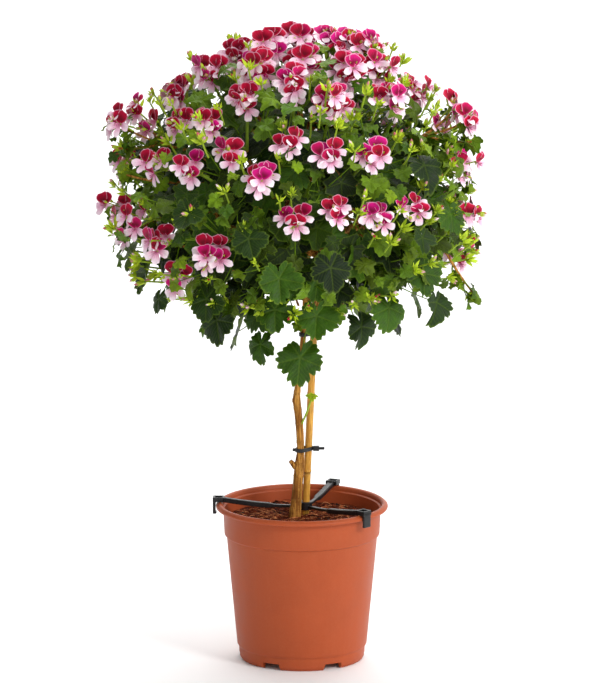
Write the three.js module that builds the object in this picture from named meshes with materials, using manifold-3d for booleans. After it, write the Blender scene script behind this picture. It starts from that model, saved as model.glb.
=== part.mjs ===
// A potted regal geranium grown as a standard: a round flowering crown on one bare trunk,
// tied to a cane, in a plastic nursery pot. Millimetres, +Z up, the front looks towards -Y.
// The origin is the middle of the pot's flat base.

import * as THREE from 'three';
import { mergeVertices } from 'three/addons/utils/BufferGeometryUtils.js';
import Module from 'manifold-3d';

const wasm = await Module();
wasm.setup();

// Gap between pieces that touch
const GAP = 0.3;
const ROUND_SIDES = 28;

// Pot, from the middle of its base outwards and up
const POT_HEIGHT = 194;
const LIP_RADIUS = 105;
const LIP_DEPTH = 7;
const LIP_INNER_RADIUS = 96.5;
const COLLAR_TOP_RADIUS = 96;
const COLLAR_FOOT_RADIUS = 94.7;
const STEP_HEIGHT = 155;
const WALL_TOP_RADIUS = 92;
const WALL_FOOT_RADIUS = 78.6;
const WALL_FOOT_HEIGHT = 11;
const BASE_RADIUS = 74;
const WALL = 2;
const FLOOR = 2.5;

// Drain pockets, sunk into the pot's bottom edge
const POCKET_COUNT = 6;
const POCKET_WIDTH = 24;
const POCKET_HEIGHT = 8;
const POCKET_INNER_RADIUS = 64;
const DRAIN_SLOT = { inner: 66, outer: 72, width: 12 };

// Potting mix
const SOIL_HEIGHT = 174;
const SOIL_CROWN = 2.5;

// Cane, a straight bamboo stick that leans to the right and forwards
const CANE_RADIUS = 4.5;
const CANE_FOOT = new THREE.Vector3(-2.5, 20.3, 25);
const CANE_LEAN = new THREE.Vector3(0.0447, -0.0212, 1);
const CANE_LENGTH = 510;
const CANE_NODES = [205, 301, 398];
const CANE_NODE_RISE = 0.6;

// Trunk, as [x, y, z, radius] along its middle
const TRUNK_LINE = [
  [-9, 5, 110, 5], [-9, 5, 160, 7], [-9, 5, 176, 7.6], [-7.5, 5, 192, 6.5], [-5.5, 5, 215, 6.1],
  [-3.4, 5, 238, 6], [-2.6, 5, 248, 5.2], [-2, 5, 258, 4.5], [-3, 5, 283, 4.7], [-4.7, 5, 302, 4.7],
  [-6.7, 5, 320, 4.9], [-5.8, 5, 333, 4], [-2.5, 5, 360, 3.7], [0, 5, 385, 3.5], [3, 5, 417, 3.5],
  [4, 4, 450, 3.7], [2, 3, 500, 4], [0, 3, 560, 4.2],
];
const TRUNK_SIDES = 7;
const TRUNK_STEPS = 23;
const TRUNK_FLUTES = 3;
const TRUNK_FLUTE_DEPTH = 0.08;
const SPUR_LINE = [[-4, 5, 233, 4], [-9, 4, 238, 3.4], [-14, 2.5, 245, 2.4]];
const KNOT_LINE = [[-5.5, 4, 314, 2.5], [-9, 3, 320, 3.6], [-7, 3, 327, 2.5]];
const SHOOT_LINE = [[-0.5, 2.4, 291, 1.3], [5, -2, 304, 1.2], [9, -4, 316, 1.1], [12, -4.5, 328, 1]];
const SHOOT_LEAF_LENGTH = 8;

// Ties round trunk and cane
const TIE_THICKNESS = 1.2;
const TIE_WIDTH = 4.5;
const TIE_SLACK = 0.5;
const LOWER_TIE_HEIGHT = 258;
const UPPER_TIE_HEIGHT = 402;

// Holder that clips over the pot's lip and keeps the cane upright
const HUB_HEIGHT = 186;
const HUB_DEPTH = 10;
const HUB_WALL = 3.4;
const ARM_ANGLES = [178, 68, -43];
const ARM_SEAT_HEIGHT = 197;
const CLIP_WIDTH = 16;

// Crown: round above its middle, and drawn in towards the trunk below it
const CROWN = new THREE.Vector3(-8, 0, 530);
const CROWN_ACROSS = { x: 240, y: 225 };
const UPPER_CROWN = { height: 256, bend: 2 };
const LOWER_CROWN = { height: 170, bend: 1.3 };
const CROWN_AXIS = { x: 0, y: 3 };
const CORE_SHARE = 0.55;
const CORE_RELIEF = 0.1;
const SECTOR_COUNT = 8;
const CAP_ANGLE = THREE.MathUtils.degToRad(38);
const SECTOR_MARGIN = 1.5;

// The photograph looks down on the plant by this much
const VIEW_DIP = Math.tan(THREE.MathUtils.degToRad(12));

// Heads of flowers on the front, as [to the right, up, flowers] seen from the front
const FRONT_HEADS = [
  [12, 780, 5], [61, 782, 5], [-53, 766, 5], [-80, 751, 3], [6, 747, 4], [104, 748, 5],
  [50, 737, 5], [-124, 728, 4], [-169, 721, 3], [-46, 723, 5], [-15, 712, 3], [148, 704, 5],
  [-69, 696, 2], [104, 694, 4], [36, 685, 5], [-194, 680, 3], [168, 674, 3], [210, 668, 5],
  [-237, 663, 4], [-151, 653, 3], [-112, 650, 4], [-13, 628, 3], [29, 622, 3], [79, 618, 4],
  [-81, 617, 3], [-172, 619, 4], [-132, 609, 4], [-53, 602, 4], [-221, 586, 4], [215, 557, 3],
  [124, 553, 3], [46, 549, 3], [89, 546, 3], [-200, 545, 4], [-6, 541, 3], [-169, 511, 4],
  [-108, 498, 5], [203, 498, 4], [-152, 473, 3],
];
// The back carries every front head that stands at least this far forwards and this high,
// turned half round, with one flower fewer
const BACK_HEAD_DEPTH = 95;
const BACK_HEAD_LOW = 600;
const HEAD_SHARE = 0.88;
const HEAD_NODES = 43;

// Large leaves seen on the front, as [to the right, up, length]
const FRONT_LEAVES = [
  [-2, 374, 56], [104, 435, 52], [-114, 445, 50], [-80, 430, 45], [-50, 400, 46], [161, 442, 48],
  [42, 404, 46], [143, 520, 45], [-136, 551, 45], [34, 483, 50], [83, 495, 50], [-27, 470, 50],
  [-63, 518, 45], [143, 477, 50], [-172, 446, 45], [180, 458, 45],
];
const FRONT_LEAF_SHARE = 0.95;
const FRONT_LEAF_DEPTH = 88;
// Leaves in between, as layers of the crown: [share of the crown, places tried, length]
const LEAF_LAYERS = [[0.93, 150, 52], [0.74, 185, 50]];
const LEAF_SPACING = 0.9;
const LEAF_THICKNESS = 0.8;
const PETIOLE_RADIUS = 2;
const STALK_SAMPLES = 12;
const LEAF_FITS = [[0, 1], [0.5, 1], [-0.5, 1], [0, 0.86], [0.6, 0.86], [-0.6, 0.86], [0, 0.72]];

// Flower: two short upper petals, two at the sides and a long lower one, as a rim of
// [degrees from its top, distance from its throat, height before its face]
const FLOWER_RIM = [
  [30, 13, 1], [74, 9, -1], [108, 13, 0.5], [143, 9, -1], [180, 15, 1],
  [217, 9, -1], [252, 13, 0.5], [286, 9, -1], [330, 13, 1],
];
const FLOWER_DEPTH = 8;
const THROAT_DEPTH = 4;
const CALYX_RADIUS = 2.2;
const FLOWER_STAGGER = 2.5;
const FLOWER_SPLAY = 0.3;
const STALK_RADIUS = 2;
const TWIG_LENGTH = 40;
const TWIG_ROOT_RADIUS = 3.4;
const HUB_RADIUS = 5;

const terracotta = new THREE.MeshStandardMaterial({ color: 0xb8593a, roughness: 0.5 });
const bark = new THREE.MeshStandardMaterial({ color: 0x52291a, roughness: 0.95 });
const black = new THREE.MeshStandardMaterial({ color: 0x161616, roughness: 0.4 });
const bamboo = new THREE.MeshStandardMaterial({ color: 0xbf8e36, roughness: 0.6 });
const wood = new THREE.MeshStandardMaterial({ color: 0x915f2e, roughness: 0.85 });
const leafGreen = new THREE.MeshStandardMaterial({ color: 0x3f6b25, roughness: 0.6 });
const limeGreen = new THREE.MeshStandardMaterial({ color: 0x9dbb3c, roughness: 0.6 });
const petalPink = new THREE.MeshStandardMaterial({ color: 0xc8305e, roughness: 0.6 });

const plant = new THREE.Group();

function place(name, solid, material) {
  const mesh = new THREE.Mesh(geometryFrom(solid), material.clone());
  mesh.name = name;
  plant.add(mesh);
}

// Closed solids from geometries, and back

function solidFrom(geometry) {
  const plain = geometry.clone();
  plain.deleteAttribute('normal');
  plain.deleteAttribute('uv');
  const merged = mergeVertices(plain, 1e-4);
  const points = merged.attributes.position;
  const corners = [];
  for (let i = 0; i < merged.index.count; i += 3) {
    const [a, b, c] = [0, 1, 2].map((k) => merged.index.getX(i + k));
    if (a !== b && b !== c && c !== a) corners.push([a, b, c]);
  }
  if (signedVolume(points, corners) < 0) corners.forEach((corner) => corner.reverse());
  return new wasm.Manifold(new wasm.Mesh({
    numProp: 3,
    vertProperties: new Float32Array(points.array),
    triVerts: new Uint32Array(corners.flat()),
  }));
}

function signedVolume(points, corners) {
  const [a, b, c] = [0, 1, 2].map(() => new THREE.Vector3());
  let volume = 0;
  for (const corner of corners) {
    [a, b, c].forEach((point, k) => point.fromBufferAttribute(points, corner[k]));
    volume += a.dot(b.cross(c)) / 6;
  }
  return volume;
}

function geometryFrom(solid) {
  const mesh = solid.getMesh();
  const geometry = new THREE.BufferGeometry();
  geometry.setAttribute('position', new THREE.BufferAttribute(mesh.vertProperties, 3));
  geometry.setIndex(new THREE.BufferAttribute(mesh.triVerts, 1));
  geometry.computeVertexNormals();
  return geometry;
}

function joined(solids) {
  return wasm.Manifold.union(solids);
}

function solidFromFaces(points, faces) {
  const geometry = new THREE.BufferGeometry().setFromPoints(points);
  geometry.setIndex(faces.flat());
  return solidFrom(geometry);
}

// Simple shapes

function turned(profile, sides = ROUND_SIDES) {
  const outline = profile.map(([radius, height]) => new THREE.Vector2(radius, height));
  return new THREE.LatheGeometry(outline, sides).rotateX(Math.PI / 2);
}

function block(low, high) {
  const size = high.map((value, i) => value - low[i]);
  const middle = high.map((value, i) => (value + low[i]) / 2);
  return new THREE.BoxGeometry(...size).translate(...middle);
}

// A tube with round ends cut square, along stations [x, y, z, radius]
function taperedTube(stations, sides, steps, grow = 0, flute = 0) {
  const path = new THREE.CatmullRomCurve3(stations.map(([x, y, z]) => new THREE.Vector3(x, y, z)));
  const last = stations.length - 1;
  const points = [];
  const faces = [];
  for (let i = 0; i <= steps; i += 1) {
    const t = i / steps;
    const middle = path.getPoint(t);
    const along = path.getTangent(t);
    const side = new THREE.Vector3(0, 1, 0).cross(along).normalize();
    const other = along.clone().cross(side);
    const span = Math.min(Math.floor(t * last), last - 1);
    const radius = THREE.MathUtils.lerp(stations[span][3], stations[span + 1][3], t * last - span);
    for (let j = 0; j < sides; j += 1) {
      const angle = (2 * Math.PI * j) / sides;
      const reach = radius * (1 + flute * Math.cos(TRUNK_FLUTES * angle)) + grow;
      points.push(middle.clone()
        .addScaledVector(side, reach * Math.cos(angle))
        .addScaledVector(other, reach * Math.sin(angle)));
      if (i < steps) {
        const [a, b] = [i * sides + j, i * sides + ((j + 1) % sides)];
        faces.push([a, b, b + sides], [a, b + sides, a + sides]);
      }
    }
  }
  const top = steps * sides;
  for (let j = 1; j < sides - 1; j += 1) faces.push([0, j + 1, j], [top, top + j, top + j + 1]);
  return solidFromFaces(points, faces);
}

// Pot

function potSolid() {
  const lipFoot = POT_HEIGHT - LIP_DEPTH;
  const shell = turned([
    [0, 0], [BASE_RADIUS, 0], [WALL_FOOT_RADIUS, WALL_FOOT_HEIGHT], [WALL_TOP_RADIUS, STEP_HEIGHT],
    [COLLAR_FOOT_RADIUS, STEP_HEIGHT], [COLLAR_TOP_RADIUS, lipFoot], [LIP_RADIUS, lipFoot + 1],
    [LIP_RADIUS, POT_HEIGHT - 3], [LIP_RADIUS - 2, POT_HEIGHT - 0.7], [LIP_RADIUS - 5, POT_HEIGHT],
    [LIP_INNER_RADIUS, POT_HEIGHT - 3],
    [COLLAR_TOP_RADIUS - WALL, lipFoot - 3], [COLLAR_FOOT_RADIUS - WALL, STEP_HEIGHT + 1],
    [WALL_TOP_RADIUS - WALL, STEP_HEIGHT - 3], [WALL_FOOT_RADIUS - WALL, WALL_FOOT_HEIGHT],
    [BASE_RADIUS - WALL, FLOOR], [0, FLOOR],
  ]);
  const filled = solidFrom(turned([
    [0, 0], [BASE_RADIUS, 0], [WALL_FOOT_RADIUS, WALL_FOOT_HEIGHT], [WALL_TOP_RADIUS, STEP_HEIGHT],
    [0, STEP_HEIGHT],
  ]));
  const pockets = joined(pocketBlocks(WALL, FLOOR)).intersect(filled);
  const notches = joined(pocketBlocks(0, 0, -1));
  const slots = joined(aroundPot([block(
    [DRAIN_SLOT.inner, -DRAIN_SLOT.width / 2, POCKET_HEIGHT - 1],
    [DRAIN_SLOT.outer, DRAIN_SLOT.width / 2, POCKET_HEIGHT + FLOOR + 1],
  )]));
  return solidFrom(shell).add(pockets).subtract(notches).subtract(slots);
}

function pocketBlocks(wall, ceiling, foot = 0) {
  return aroundPot([block(
    [POCKET_INNER_RADIUS - wall, -POCKET_WIDTH / 2 - wall, foot],
    [LIP_RADIUS, POCKET_WIDTH / 2 + wall, POCKET_HEIGHT + ceiling],
  )]);
}

function aroundPot(geometries) {
  const copies = [];
  for (let i = 0; i < POCKET_COUNT; i += 1) {
    const angle = (2 * Math.PI * i) / POCKET_COUNT;
    copies.push(...geometries.map((shape) => solidFrom(shape.clone().rotateZ(angle))));
  }
  return copies;
}

function soilSolid() {
  const inside = (radius) => radius - WALL - GAP;
  const edge = SOIL_HEIGHT - SOIL_CROWN;
  const mix = solidFrom(turned([
    [0, FLOOR + GAP], [inside(POCKET_INNER_RADIUS), FLOOR + GAP],
    [inside(POCKET_INNER_RADIUS), POCKET_HEIGHT + FLOOR + GAP],
    [inside(WALL_FOOT_RADIUS), WALL_FOOT_HEIGHT], [inside(WALL_TOP_RADIUS), STEP_HEIGHT - 3],
    [inside(COLLAR_FOOT_RADIUS), STEP_HEIGHT + 2], [inside(COLLAR_FOOT_RADIUS) + 0.5, edge],
    [70, SOIL_HEIGHT - 0.5], [35, SOIL_HEIGHT + 0.5], [0, SOIL_HEIGHT],
  ]));
  return mix.subtract(trunkSolid(GAP)).subtract(caneSolid(GAP));
}

// Cane, trunk and side shoot

function caneSolid(grow = 0) {
  const sides = 8;
  const profile = [[0, -grow], [CANE_RADIUS + grow, -grow]];
  for (const height of grow > 0 ? [] : CANE_NODES) {
    profile.push([CANE_RADIUS, height - 3], [CANE_RADIUS + CANE_NODE_RISE, height]);
    profile.push([CANE_RADIUS, height + 3]);
  }
  const reach = CANE_RADIUS + (grow > 0 ? grow + CANE_NODE_RISE : 0);
  if (grow > 0) profile[1][0] = reach;
  profile.push([reach, CANE_LENGTH + grow], [0, CANE_LENGTH + grow]);
  const turn = new THREE.Quaternion().setFromUnitVectors(
    new THREE.Vector3(0, 0, 1), CANE_LEAN.clone().normalize(),
  );
  const stick = turned(profile, sides).applyQuaternion(turn);
  return solidFrom(stick.translate(CANE_FOOT.x, CANE_FOOT.y, CANE_FOOT.z));
}

function canePoint(height) {
  return CANE_FOOT.clone().addScaledVector(CANE_LEAN, height - CANE_FOOT.z);
}

function trunkSolid(grow = 0) {
  const stem = taperedTube(TRUNK_LINE, TRUNK_SIDES, TRUNK_STEPS, grow, TRUNK_FLUTE_DEPTH);
  if (grow > 0) return stem;
  const spur = taperedTube(SPUR_LINE, 6, 2);
  const knot = taperedTube(KNOT_LINE, 6, 2);
  return joined([stem, spur, knot]);
}

function trunkPoint(height) {
  const above = TRUNK_LINE.findIndex((station) => station[2] >= height);
  const [low, high] = [TRUNK_LINE[above - 1], TRUNK_LINE[above]];
  const share = (height - low[2]) / (high[2] - low[2]);
  return new THREE.Vector3(...low).lerp(new THREE.Vector3(...high), share);
}

function sideShootSolid() {
  const twig = taperedTube(SHOOT_LINE, 5, 5);
  const tip = new THREE.Vector3(...SHOOT_LINE.at(-1));
  const root = tip.clone().add(new THREE.Vector3(-1, 0.5, -3));
  const leaves = [-1, 1].map((side) => leafSolid({
    joint: tip.clone().add(new THREE.Vector3(side * 2.5, -1, 1)),
    tipWay: new THREE.Vector3(side, -0.3, 0.5),
    face: new THREE.Vector3(-0.3 * side, -0.8, 0.7),
    length: SHOOT_LEAF_LENGTH,
    root,
  }));
  return joined([twig, ...leaves]).subtract(trunkSolid(GAP));
}

// Ties

function beltShape(first, second, reach) {
  const way = Math.atan2(second.y - first.y, second.x - first.x);
  const length = Math.hypot(second.x - first.x, second.y - first.y);
  const lean = Math.acos((first.radius - second.radius) / length);
  const outline = new THREE.Shape();
  outline.absarc(first.x, first.y, first.radius + reach, way + lean, way - lean + 2 * Math.PI);
  outline.absarc(second.x, second.y, second.radius + reach, way - lean, way + lean);
  return outline;
}

function tieSolid(height, stemRadius, boxes) {
  const stem = trunkPoint(height);
  const cane = canePoint(height);
  const round = [
    { x: stem.x, y: stem.y, radius: stemRadius },
    { x: cane.x, y: cane.y, radius: CANE_RADIUS },
  ];
  const outer = beltShape(...round, TIE_SLACK + TIE_THICKNESS);
  outer.holes.push(beltShape(...round, TIE_SLACK));
  const belt = new THREE.ExtrudeGeometry(outer, {
    depth: TIE_WIDTH, bevelEnabled: false, curveSegments: 5,
  });
  belt.translate(0, 0, height - TIE_WIDTH / 2);
  const ends = boxes.map(([from, to]) => solidFrom(block(from, to)));
  return joined([solidFrom(belt), ...ends]);
}

// Holder

function bar(from, to, width, depth) {
  const along = to.clone().sub(from);
  const shape = new THREE.BoxGeometry(along.length(), width, depth);
  const side = new THREE.Vector3(0, 0, 1).cross(along).normalize();
  const up = along.clone().cross(side).normalize();
  const frame = new THREE.Matrix4().makeBasis(along.normalize(), side, up);
  frame.setPosition(from.clone().add(to).multiplyScalar(0.5));
  return solidFrom(shape.applyMatrix4(frame));
}

function holderSolid() {
  const centre = canePoint(HUB_HEIGHT);
  const reach = CANE_RADIUS + HUB_WALL;
  const low = HUB_HEIGHT - HUB_DEPTH / 2;
  const hub = solidFrom(turned([
    [0, low], [reach, low], [reach, low + HUB_DEPTH], [0, low + HUB_DEPTH],
  ], 14).translate(centre.x, centre.y, 0));
  const pieces = [hub];
  for (const degrees of ARM_ANGLES) {
    const angle = THREE.MathUtils.degToRad(degrees);
    const rim = new THREE.Vector3(
      LIP_INNER_RADIUS * Math.cos(angle), LIP_INNER_RADIUS * Math.sin(angle), ARM_SEAT_HEIGHT,
    );
    const start = centre.clone().setZ(HUB_HEIGHT + 1.5);
    const half = start.clone().lerp(rim, 0.45);
    pieces.push(bar(start, half, 5, 4), bar(half.clone().lerp(start, 0.04), rim, 8, 5));
    pieces.push(clipSolid(angle));
  }
  return joined(pieces).subtract(caneSolid(GAP));
}

function clipSolid(angle) {
  const half = CLIP_WIDTH / 2;
  const seat = POT_HEIGHT + GAP;
  const top = ARM_SEAT_HEIGHT + 3;
  const outside = LIP_RADIUS + GAP;
  const inside = COLLAR_TOP_RADIUS - WALL - 4 * GAP;
  const boxes = [
    block([inside - 5, -half, seat], [outside + 3.4, half, top]),
    block([outside, -half, POT_HEIGHT - 15], [outside + 3.4, half, top]),
    block([inside - 2.5, -half, POT_HEIGHT - 12], [inside, half, top]),
  ];
  return joined(boxes.map((shape) => solidFrom(shape.rotateZ(angle))));
}

// Places in the crown

function crownHalf(height) {
  return height > 0 ? UPPER_CROWN : LOWER_CROWN;
}

// How far out an offset from the crown's middle reaches: 1 is on the crown's surface
function crownReach(offset) {
  const { height, bend } = crownHalf(offset.z);
  const across = Math.hypot(offset.x / CROWN_ACROSS.x, offset.y / CROWN_ACROSS.y);
  return (across ** bend + Math.abs(offset.z / height) ** bend) ** (1 / bend);
}

function crownShare(point) {
  return crownReach(point.clone().sub(CROWN));
}

function crownPoint(direction, share) {
  return CROWN.clone().addScaledVector(direction, share / crownReach(direction));
}

function crownOutward(point) {
  const offset = point.clone().sub(CROWN);
  const { height, bend } = crownHalf(offset.z);
  const across = Math.hypot(offset.x / CROWN_ACROSS.x, offset.y / CROWN_ACROSS.y);
  const level = Math.max(across, 0.01) ** (bend - 2);
  return new THREE.Vector3(
    (level * offset.x) / CROWN_ACROSS.x ** 2,
    (level * offset.y) / CROWN_ACROSS.y ** 2,
    (Math.sign(offset.z) * Math.abs(offset.z / height) ** (bend - 1)) / height,
  ).normalize();
}

// The place on the crown's front that is seen at this distance to the right and up
function seenPoint(right, up, share, leastDepth = 0) {
  let depth = CROWN_ACROSS.y;
  for (let i = 0; i < 12; i += 1) {
    const z = up + depth * VIEW_DIP;
    const { height, bend } = crownHalf(z - CROWN.z);
    const across = Math.max(0, share ** bend - Math.abs((z - CROWN.z) / height) ** bend) ** (1 / bend);
    const rest = across ** 2 - ((right - CROWN.x) / CROWN_ACROSS.x) ** 2;
    depth = (depth + CROWN_ACROSS.y * Math.sqrt(Math.max(0, rest))) / 2;
  }
  depth = Math.max(depth, leastDepth);
  return new THREE.Vector3(right, -depth, up + depth * VIEW_DIP);
}

// An even spread of directions round a sphere
function spreadDirection(i, count) {
  const z = 1 - (2 * i + 1) / count;
  const angle = i * Math.PI * (3 - Math.sqrt(5));
  const radius = Math.sqrt(1 - z * z);
  return new THREE.Vector3(radius * Math.cos(angle), radius * Math.sin(angle), z);
}

// A repeatable number from 0 to 1
function scatter(i, j) {
  const value = Math.sin(i * 12.9898 + j * 78.233) * 43758.5453;
  return value - Math.floor(value);
}

// Heads of flowers

function headPlaces() {
  const heads = FRONT_HEADS.map(([right, up, flowers]) => (
    { middle: seenPoint(right, up, HEAD_SHARE), flowers }
  ));
  const back = heads.filter(({ middle }) => middle.y < -BACK_HEAD_DEPTH && middle.z > BACK_HEAD_LOW);
  for (const { middle, flowers } of back) {
    const turnedPlace = new THREE.Vector3(2 * CROWN.x - middle.x, -middle.y, middle.z);
    heads.push({ middle: turnedPlace, flowers: flowers - 1 });
  }
  heads.forEach((head) => { head.radius = 12 + 8 * Math.sqrt(head.flowers); });
  settleHeads(heads);
  return heads;
}

// Heads that crowd each other are eased apart, and what still touches grows a little smaller
function settleHeads(heads) {
  for (let round = 0; round < 60; round += 1) {
    eachPair(heads, (one, other) => {
      const apart = other.middle.clone().sub(one.middle);
      const crowding = one.radius + other.radius + 1 - apart.length();
      if (crowding <= 0) return;
      apart.setLength(crowding * 0.3);
      one.middle.sub(apart);
      other.middle.add(apart);
    });
    for (const head of heads) {
      const share = crownShare(head.middle);
      const wanted = THREE.MathUtils.clamp(share, HEAD_SHARE - 0.08, HEAD_SHARE + 0.02);
      head.middle.sub(CROWN).multiplyScalar(wanted / share).add(CROWN);
    }
  }
  eachPair(heads, (one, other) => {
    const crowding = one.radius + other.radius + 1 - one.middle.distanceTo(other.middle);
    if (crowding <= 0) return;
    one.radius -= crowding / 2;
    other.radius -= crowding / 2;
  });
}

function eachPair(list, visit) {
  list.forEach((one, i) => list.slice(i + 1).forEach((other) => visit(one, other)));
}

// The nearest heads share one forked stalk, until no more nodes are needed than there are
function headGroups(heads) {
  const pairs = [];
  eachPair(heads, (one, other) => pairs.push([one, other]));
  pairs.sort((p, q) => p[0].middle.distanceTo(p[1].middle) - q[0].middle.distanceTo(q[1].middle));
  const groups = [];
  const taken = new Set();
  for (const pair of pairs) {
    if (heads.length - groups.length <= HEAD_NODES) break;
    if (pair.some((head) => taken.has(head))) continue;
    pair.forEach((head) => taken.add(head));
    groups.push(pair);
  }
  return [...groups, ...heads.filter((head) => !taken.has(head)).map((head) => [head])];
}

// Where a group's stalk meets its limb, kept clear of the planes between limbs
function stalkFoot(group) {
  const middle = new THREE.Vector3();
  group.forEach((head) => middle.addScaledVector(head.middle, 1 / group.length));
  return clearOfPlanes(crownPoint(middle.sub(CROWN), CORE_SHARE + 0.06));
}

function clearOfPlanes(point) {
  const wide = (2 * Math.PI) / SECTOR_COUNT;
  const angle = Math.atan2(point.y - CROWN_AXIS.y, point.x - CROWN_AXIS.x);
  const radius = Math.hypot(point.x - CROWN_AXIS.x, point.y - CROWN_AXIS.y);
  const middle = Math.round(angle / wide) * wide;
  const free = Math.max(0, wide / 2 - 7 / radius);
  const kept = middle + THREE.MathUtils.clamp(angle - middle, -free, free);
  const moved = new THREE.Vector3(
    CROWN_AXIS.x + radius * Math.cos(kept), CROWN_AXIS.y + radius * Math.sin(kept), point.z,
  );
  const lean = Math.atan2(radius, point.z - CROWN.z) - CAP_ANGLE;
  const off = 7 / moved.distanceTo(new THREE.Vector3(CROWN_AXIS.x, CROWN_AXIS.y, CROWN.z));
  if (radius < 12 || Math.abs(lean) >= off) return radius < 12 ? point : moved;
  const turn = (lean < 0 ? -off - lean : off - lean);
  const axis = new THREE.Vector3(-Math.sin(kept), Math.cos(kept), 0);
  const centre = new THREE.Vector3(CROWN_AXIS.x, CROWN_AXIS.y, CROWN.z);
  return moved.sub(centre).applyAxisAngle(axis, turn).add(centre);
}

function headHub(head) {
  const outward = crownOutward(head.middle);
  return head.middle.clone().addScaledVector(outward, -0.8 * head.radius);
}

// The way that a head looks: outwards and a little up, also on top of the crown
function headFace(head) {
  const outward = crownOutward(head.middle);
  const level = outward.clone().setZ(0);
  level.y -= 0.1;
  return level.normalize().multiplyScalar(0.8).addScaledVector(outward, 0.3)
    .add(new THREE.Vector3(0, 0, 0.25)).normalize();
}

function flowerFrame(face) {
  const up = new THREE.Vector3(0, 0, 1).addScaledVector(face, -face.z).normalize();
  return { face, up, side: up.clone().cross(face) };
}

function flowerPoint({ face, up, side }, middle, [degrees, reach, height]) {
  const angle = THREE.MathUtils.degToRad(degrees);
  return middle.clone()
    .addScaledVector(side, reach * Math.sin(angle))
    .addScaledVector(up, reach * Math.cos(angle))
    .addScaledVector(face, height);
}

// Flowers of one head: one in the middle from four up, the others in a ring round it, as far out
// as the head's round space lets them be
function flowerPlaces(head, seed) {
  const level = flowerFrame(headFace(head));
  const ring = head.flowers > 3 ? head.flowers - 1 : head.flowers;
  const places = [];
  for (let i = 0; i < head.flowers; i += 1) {
    const inMiddle = i >= ring || ring < 2;
    const degrees = (360 * (i + 0.25 + 0.3 * scatter(seed, i))) / ring;
    const spread = flowerPoint(level, new THREE.Vector3(), [degrees, 1, 0]);
    const way = inMiddle ? level.face : spread;
    const face = level.face.clone().addScaledVector(way, FLOWER_SPLAY).normalize();
    const frame = flowerFrame(face);
    const stagger = inMiddle ? 0 : FLOWER_STAGGER * (i % 2 ? 1 : -1);
    const start = head.middle.clone().addScaledVector(level.face, stagger);
    const fits = (middle) => FLOWER_RIM.every((place) => (
      flowerPoint(frame, middle, place).distanceTo(head.middle) < head.radius
    ));
    let reach = head.radius;
    while (reach > 0 && !fits(start.clone().addScaledVector(way, reach))) reach -= 0.5;
    places.push({ ...frame, middle: start.addScaledVector(way, reach) });
  }
  return places;
}

// A blade or a funnel: a rim round a middle point, and a three-cornered stalk below it. Where the
// rim has an under side of its own, a wall joins the two.
function starSolid({ rim, underRim, middle, collar, root }) {
  const count = rim.length;
  const sameRim = !underRim;
  const points = [middle, ...rim, ...(sameRim ? [] : underRim), ...collar, root];
  const top = (i) => 1 + (i % count);
  const under = (i) => (sameRim ? 0 : count) + top(i);
  const ring = (k) => 1 + count * (sameRim ? 1 : 2) + (k % 3);
  const foot = points.length - 1;
  const third = (i) => Math.floor(((i % count) * 3) / count);
  const faces = [];
  for (let i = 0; i < count; i += 1) {
    faces.push([0, top(i), top(i + 1)]);
    if (!sameRim) {
      faces.push([top(i), under(i), under(i + 1)], [top(i), under(i + 1), top(i + 1)]);
    }
    faces.push([under(i + 1), under(i), ring(third(i))]);
    if (third(i) !== third(i + 1)) {
      faces.push([under(i + 1), ring(third(i)), ring(third(i + 1))]);
    }
  }
  for (let k = 0; k < 3; k += 1) faces.push([ring(k + 1), ring(k), foot]);
  return solidFromFaces(points, faces);
}

function flowerSolid(flower, hub, outward) {
  const at = (place) => flowerPoint(flower, flower.middle, place);
  return starSolid({
    rim: FLOWER_RIM.map(at),
    middle: at([0, 0, -THROAT_DEPTH]),
    collar: [52, 180, 308].map((degrees) => at([degrees, CALYX_RADIUS, -FLOWER_DEPTH])),
    root: hub.clone().addScaledVector(outward, -HUB_RADIUS),
  });
}

function headGroupSolid(group, seed) {
  const foot = stalkFoot(group);
  const solids = [];
  group.forEach((head, k) => {
    const hub = headHub(head);
    const outward = crownOutward(head.middle);
    solids.push(taperedTube([[...foot, STALK_RADIUS], [...hub, HUB_RADIUS]], 4, 1));
    flowerPlaces(head, seed + k / 2).forEach((flower) => {
      solids.push(flowerSolid(flower, hub, outward));
    });
  });
  return joined(solids);
}

// Leaves

// Lobes and notches round a leaf, as [degrees from its tip, share of its length, drop]
const LEAF_RIM = [
  [180, 0.1, 0], [138, 0.44, 0.09], [106, 0.36, 0.01], [70, 0.55, 0.1], [36, 0.42, 0.02],
  [0, 0.62, 0.13], [-36, 0.42, 0.02], [-70, 0.55, 0.1], [-106, 0.36, 0.01], [-138, 0.44, 0.09],
];

function leafPoints({ joint, tipWay, face, length }) {
  const normal = face.clone().normalize();
  const along = tipWay.clone().addScaledVector(normal, -tipWay.dot(normal)).normalize();
  const side = normal.clone().cross(along);
  return (degrees, share, drop) => {
    const angle = THREE.MathUtils.degToRad(degrees);
    return joint.clone()
      .addScaledVector(along, length * share * Math.cos(angle))
      .addScaledVector(side, length * share * Math.sin(angle))
      .addScaledVector(normal, -drop * length);
  };
}

function leafSolid(leaf) {
  const at = leafPoints(leaf);
  const down = LEAF_THICKNESS / leaf.length;
  const wide = Math.min(PETIOLE_RADIUS, leaf.length * 0.06) / leaf.length;
  return starSolid({
    rim: LEAF_RIM.map(([degrees, share, drop]) => at(degrees, share, drop)),
    underRim: LEAF_RIM.map(([degrees, share, drop]) => at(degrees, share, drop + down)),
    middle: at(0, 0, 0),
    collar: [132, 12, -108].map((degrees) => at(degrees, wide, 2 * down)),
    root: leaf.root,
  });
}

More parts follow.
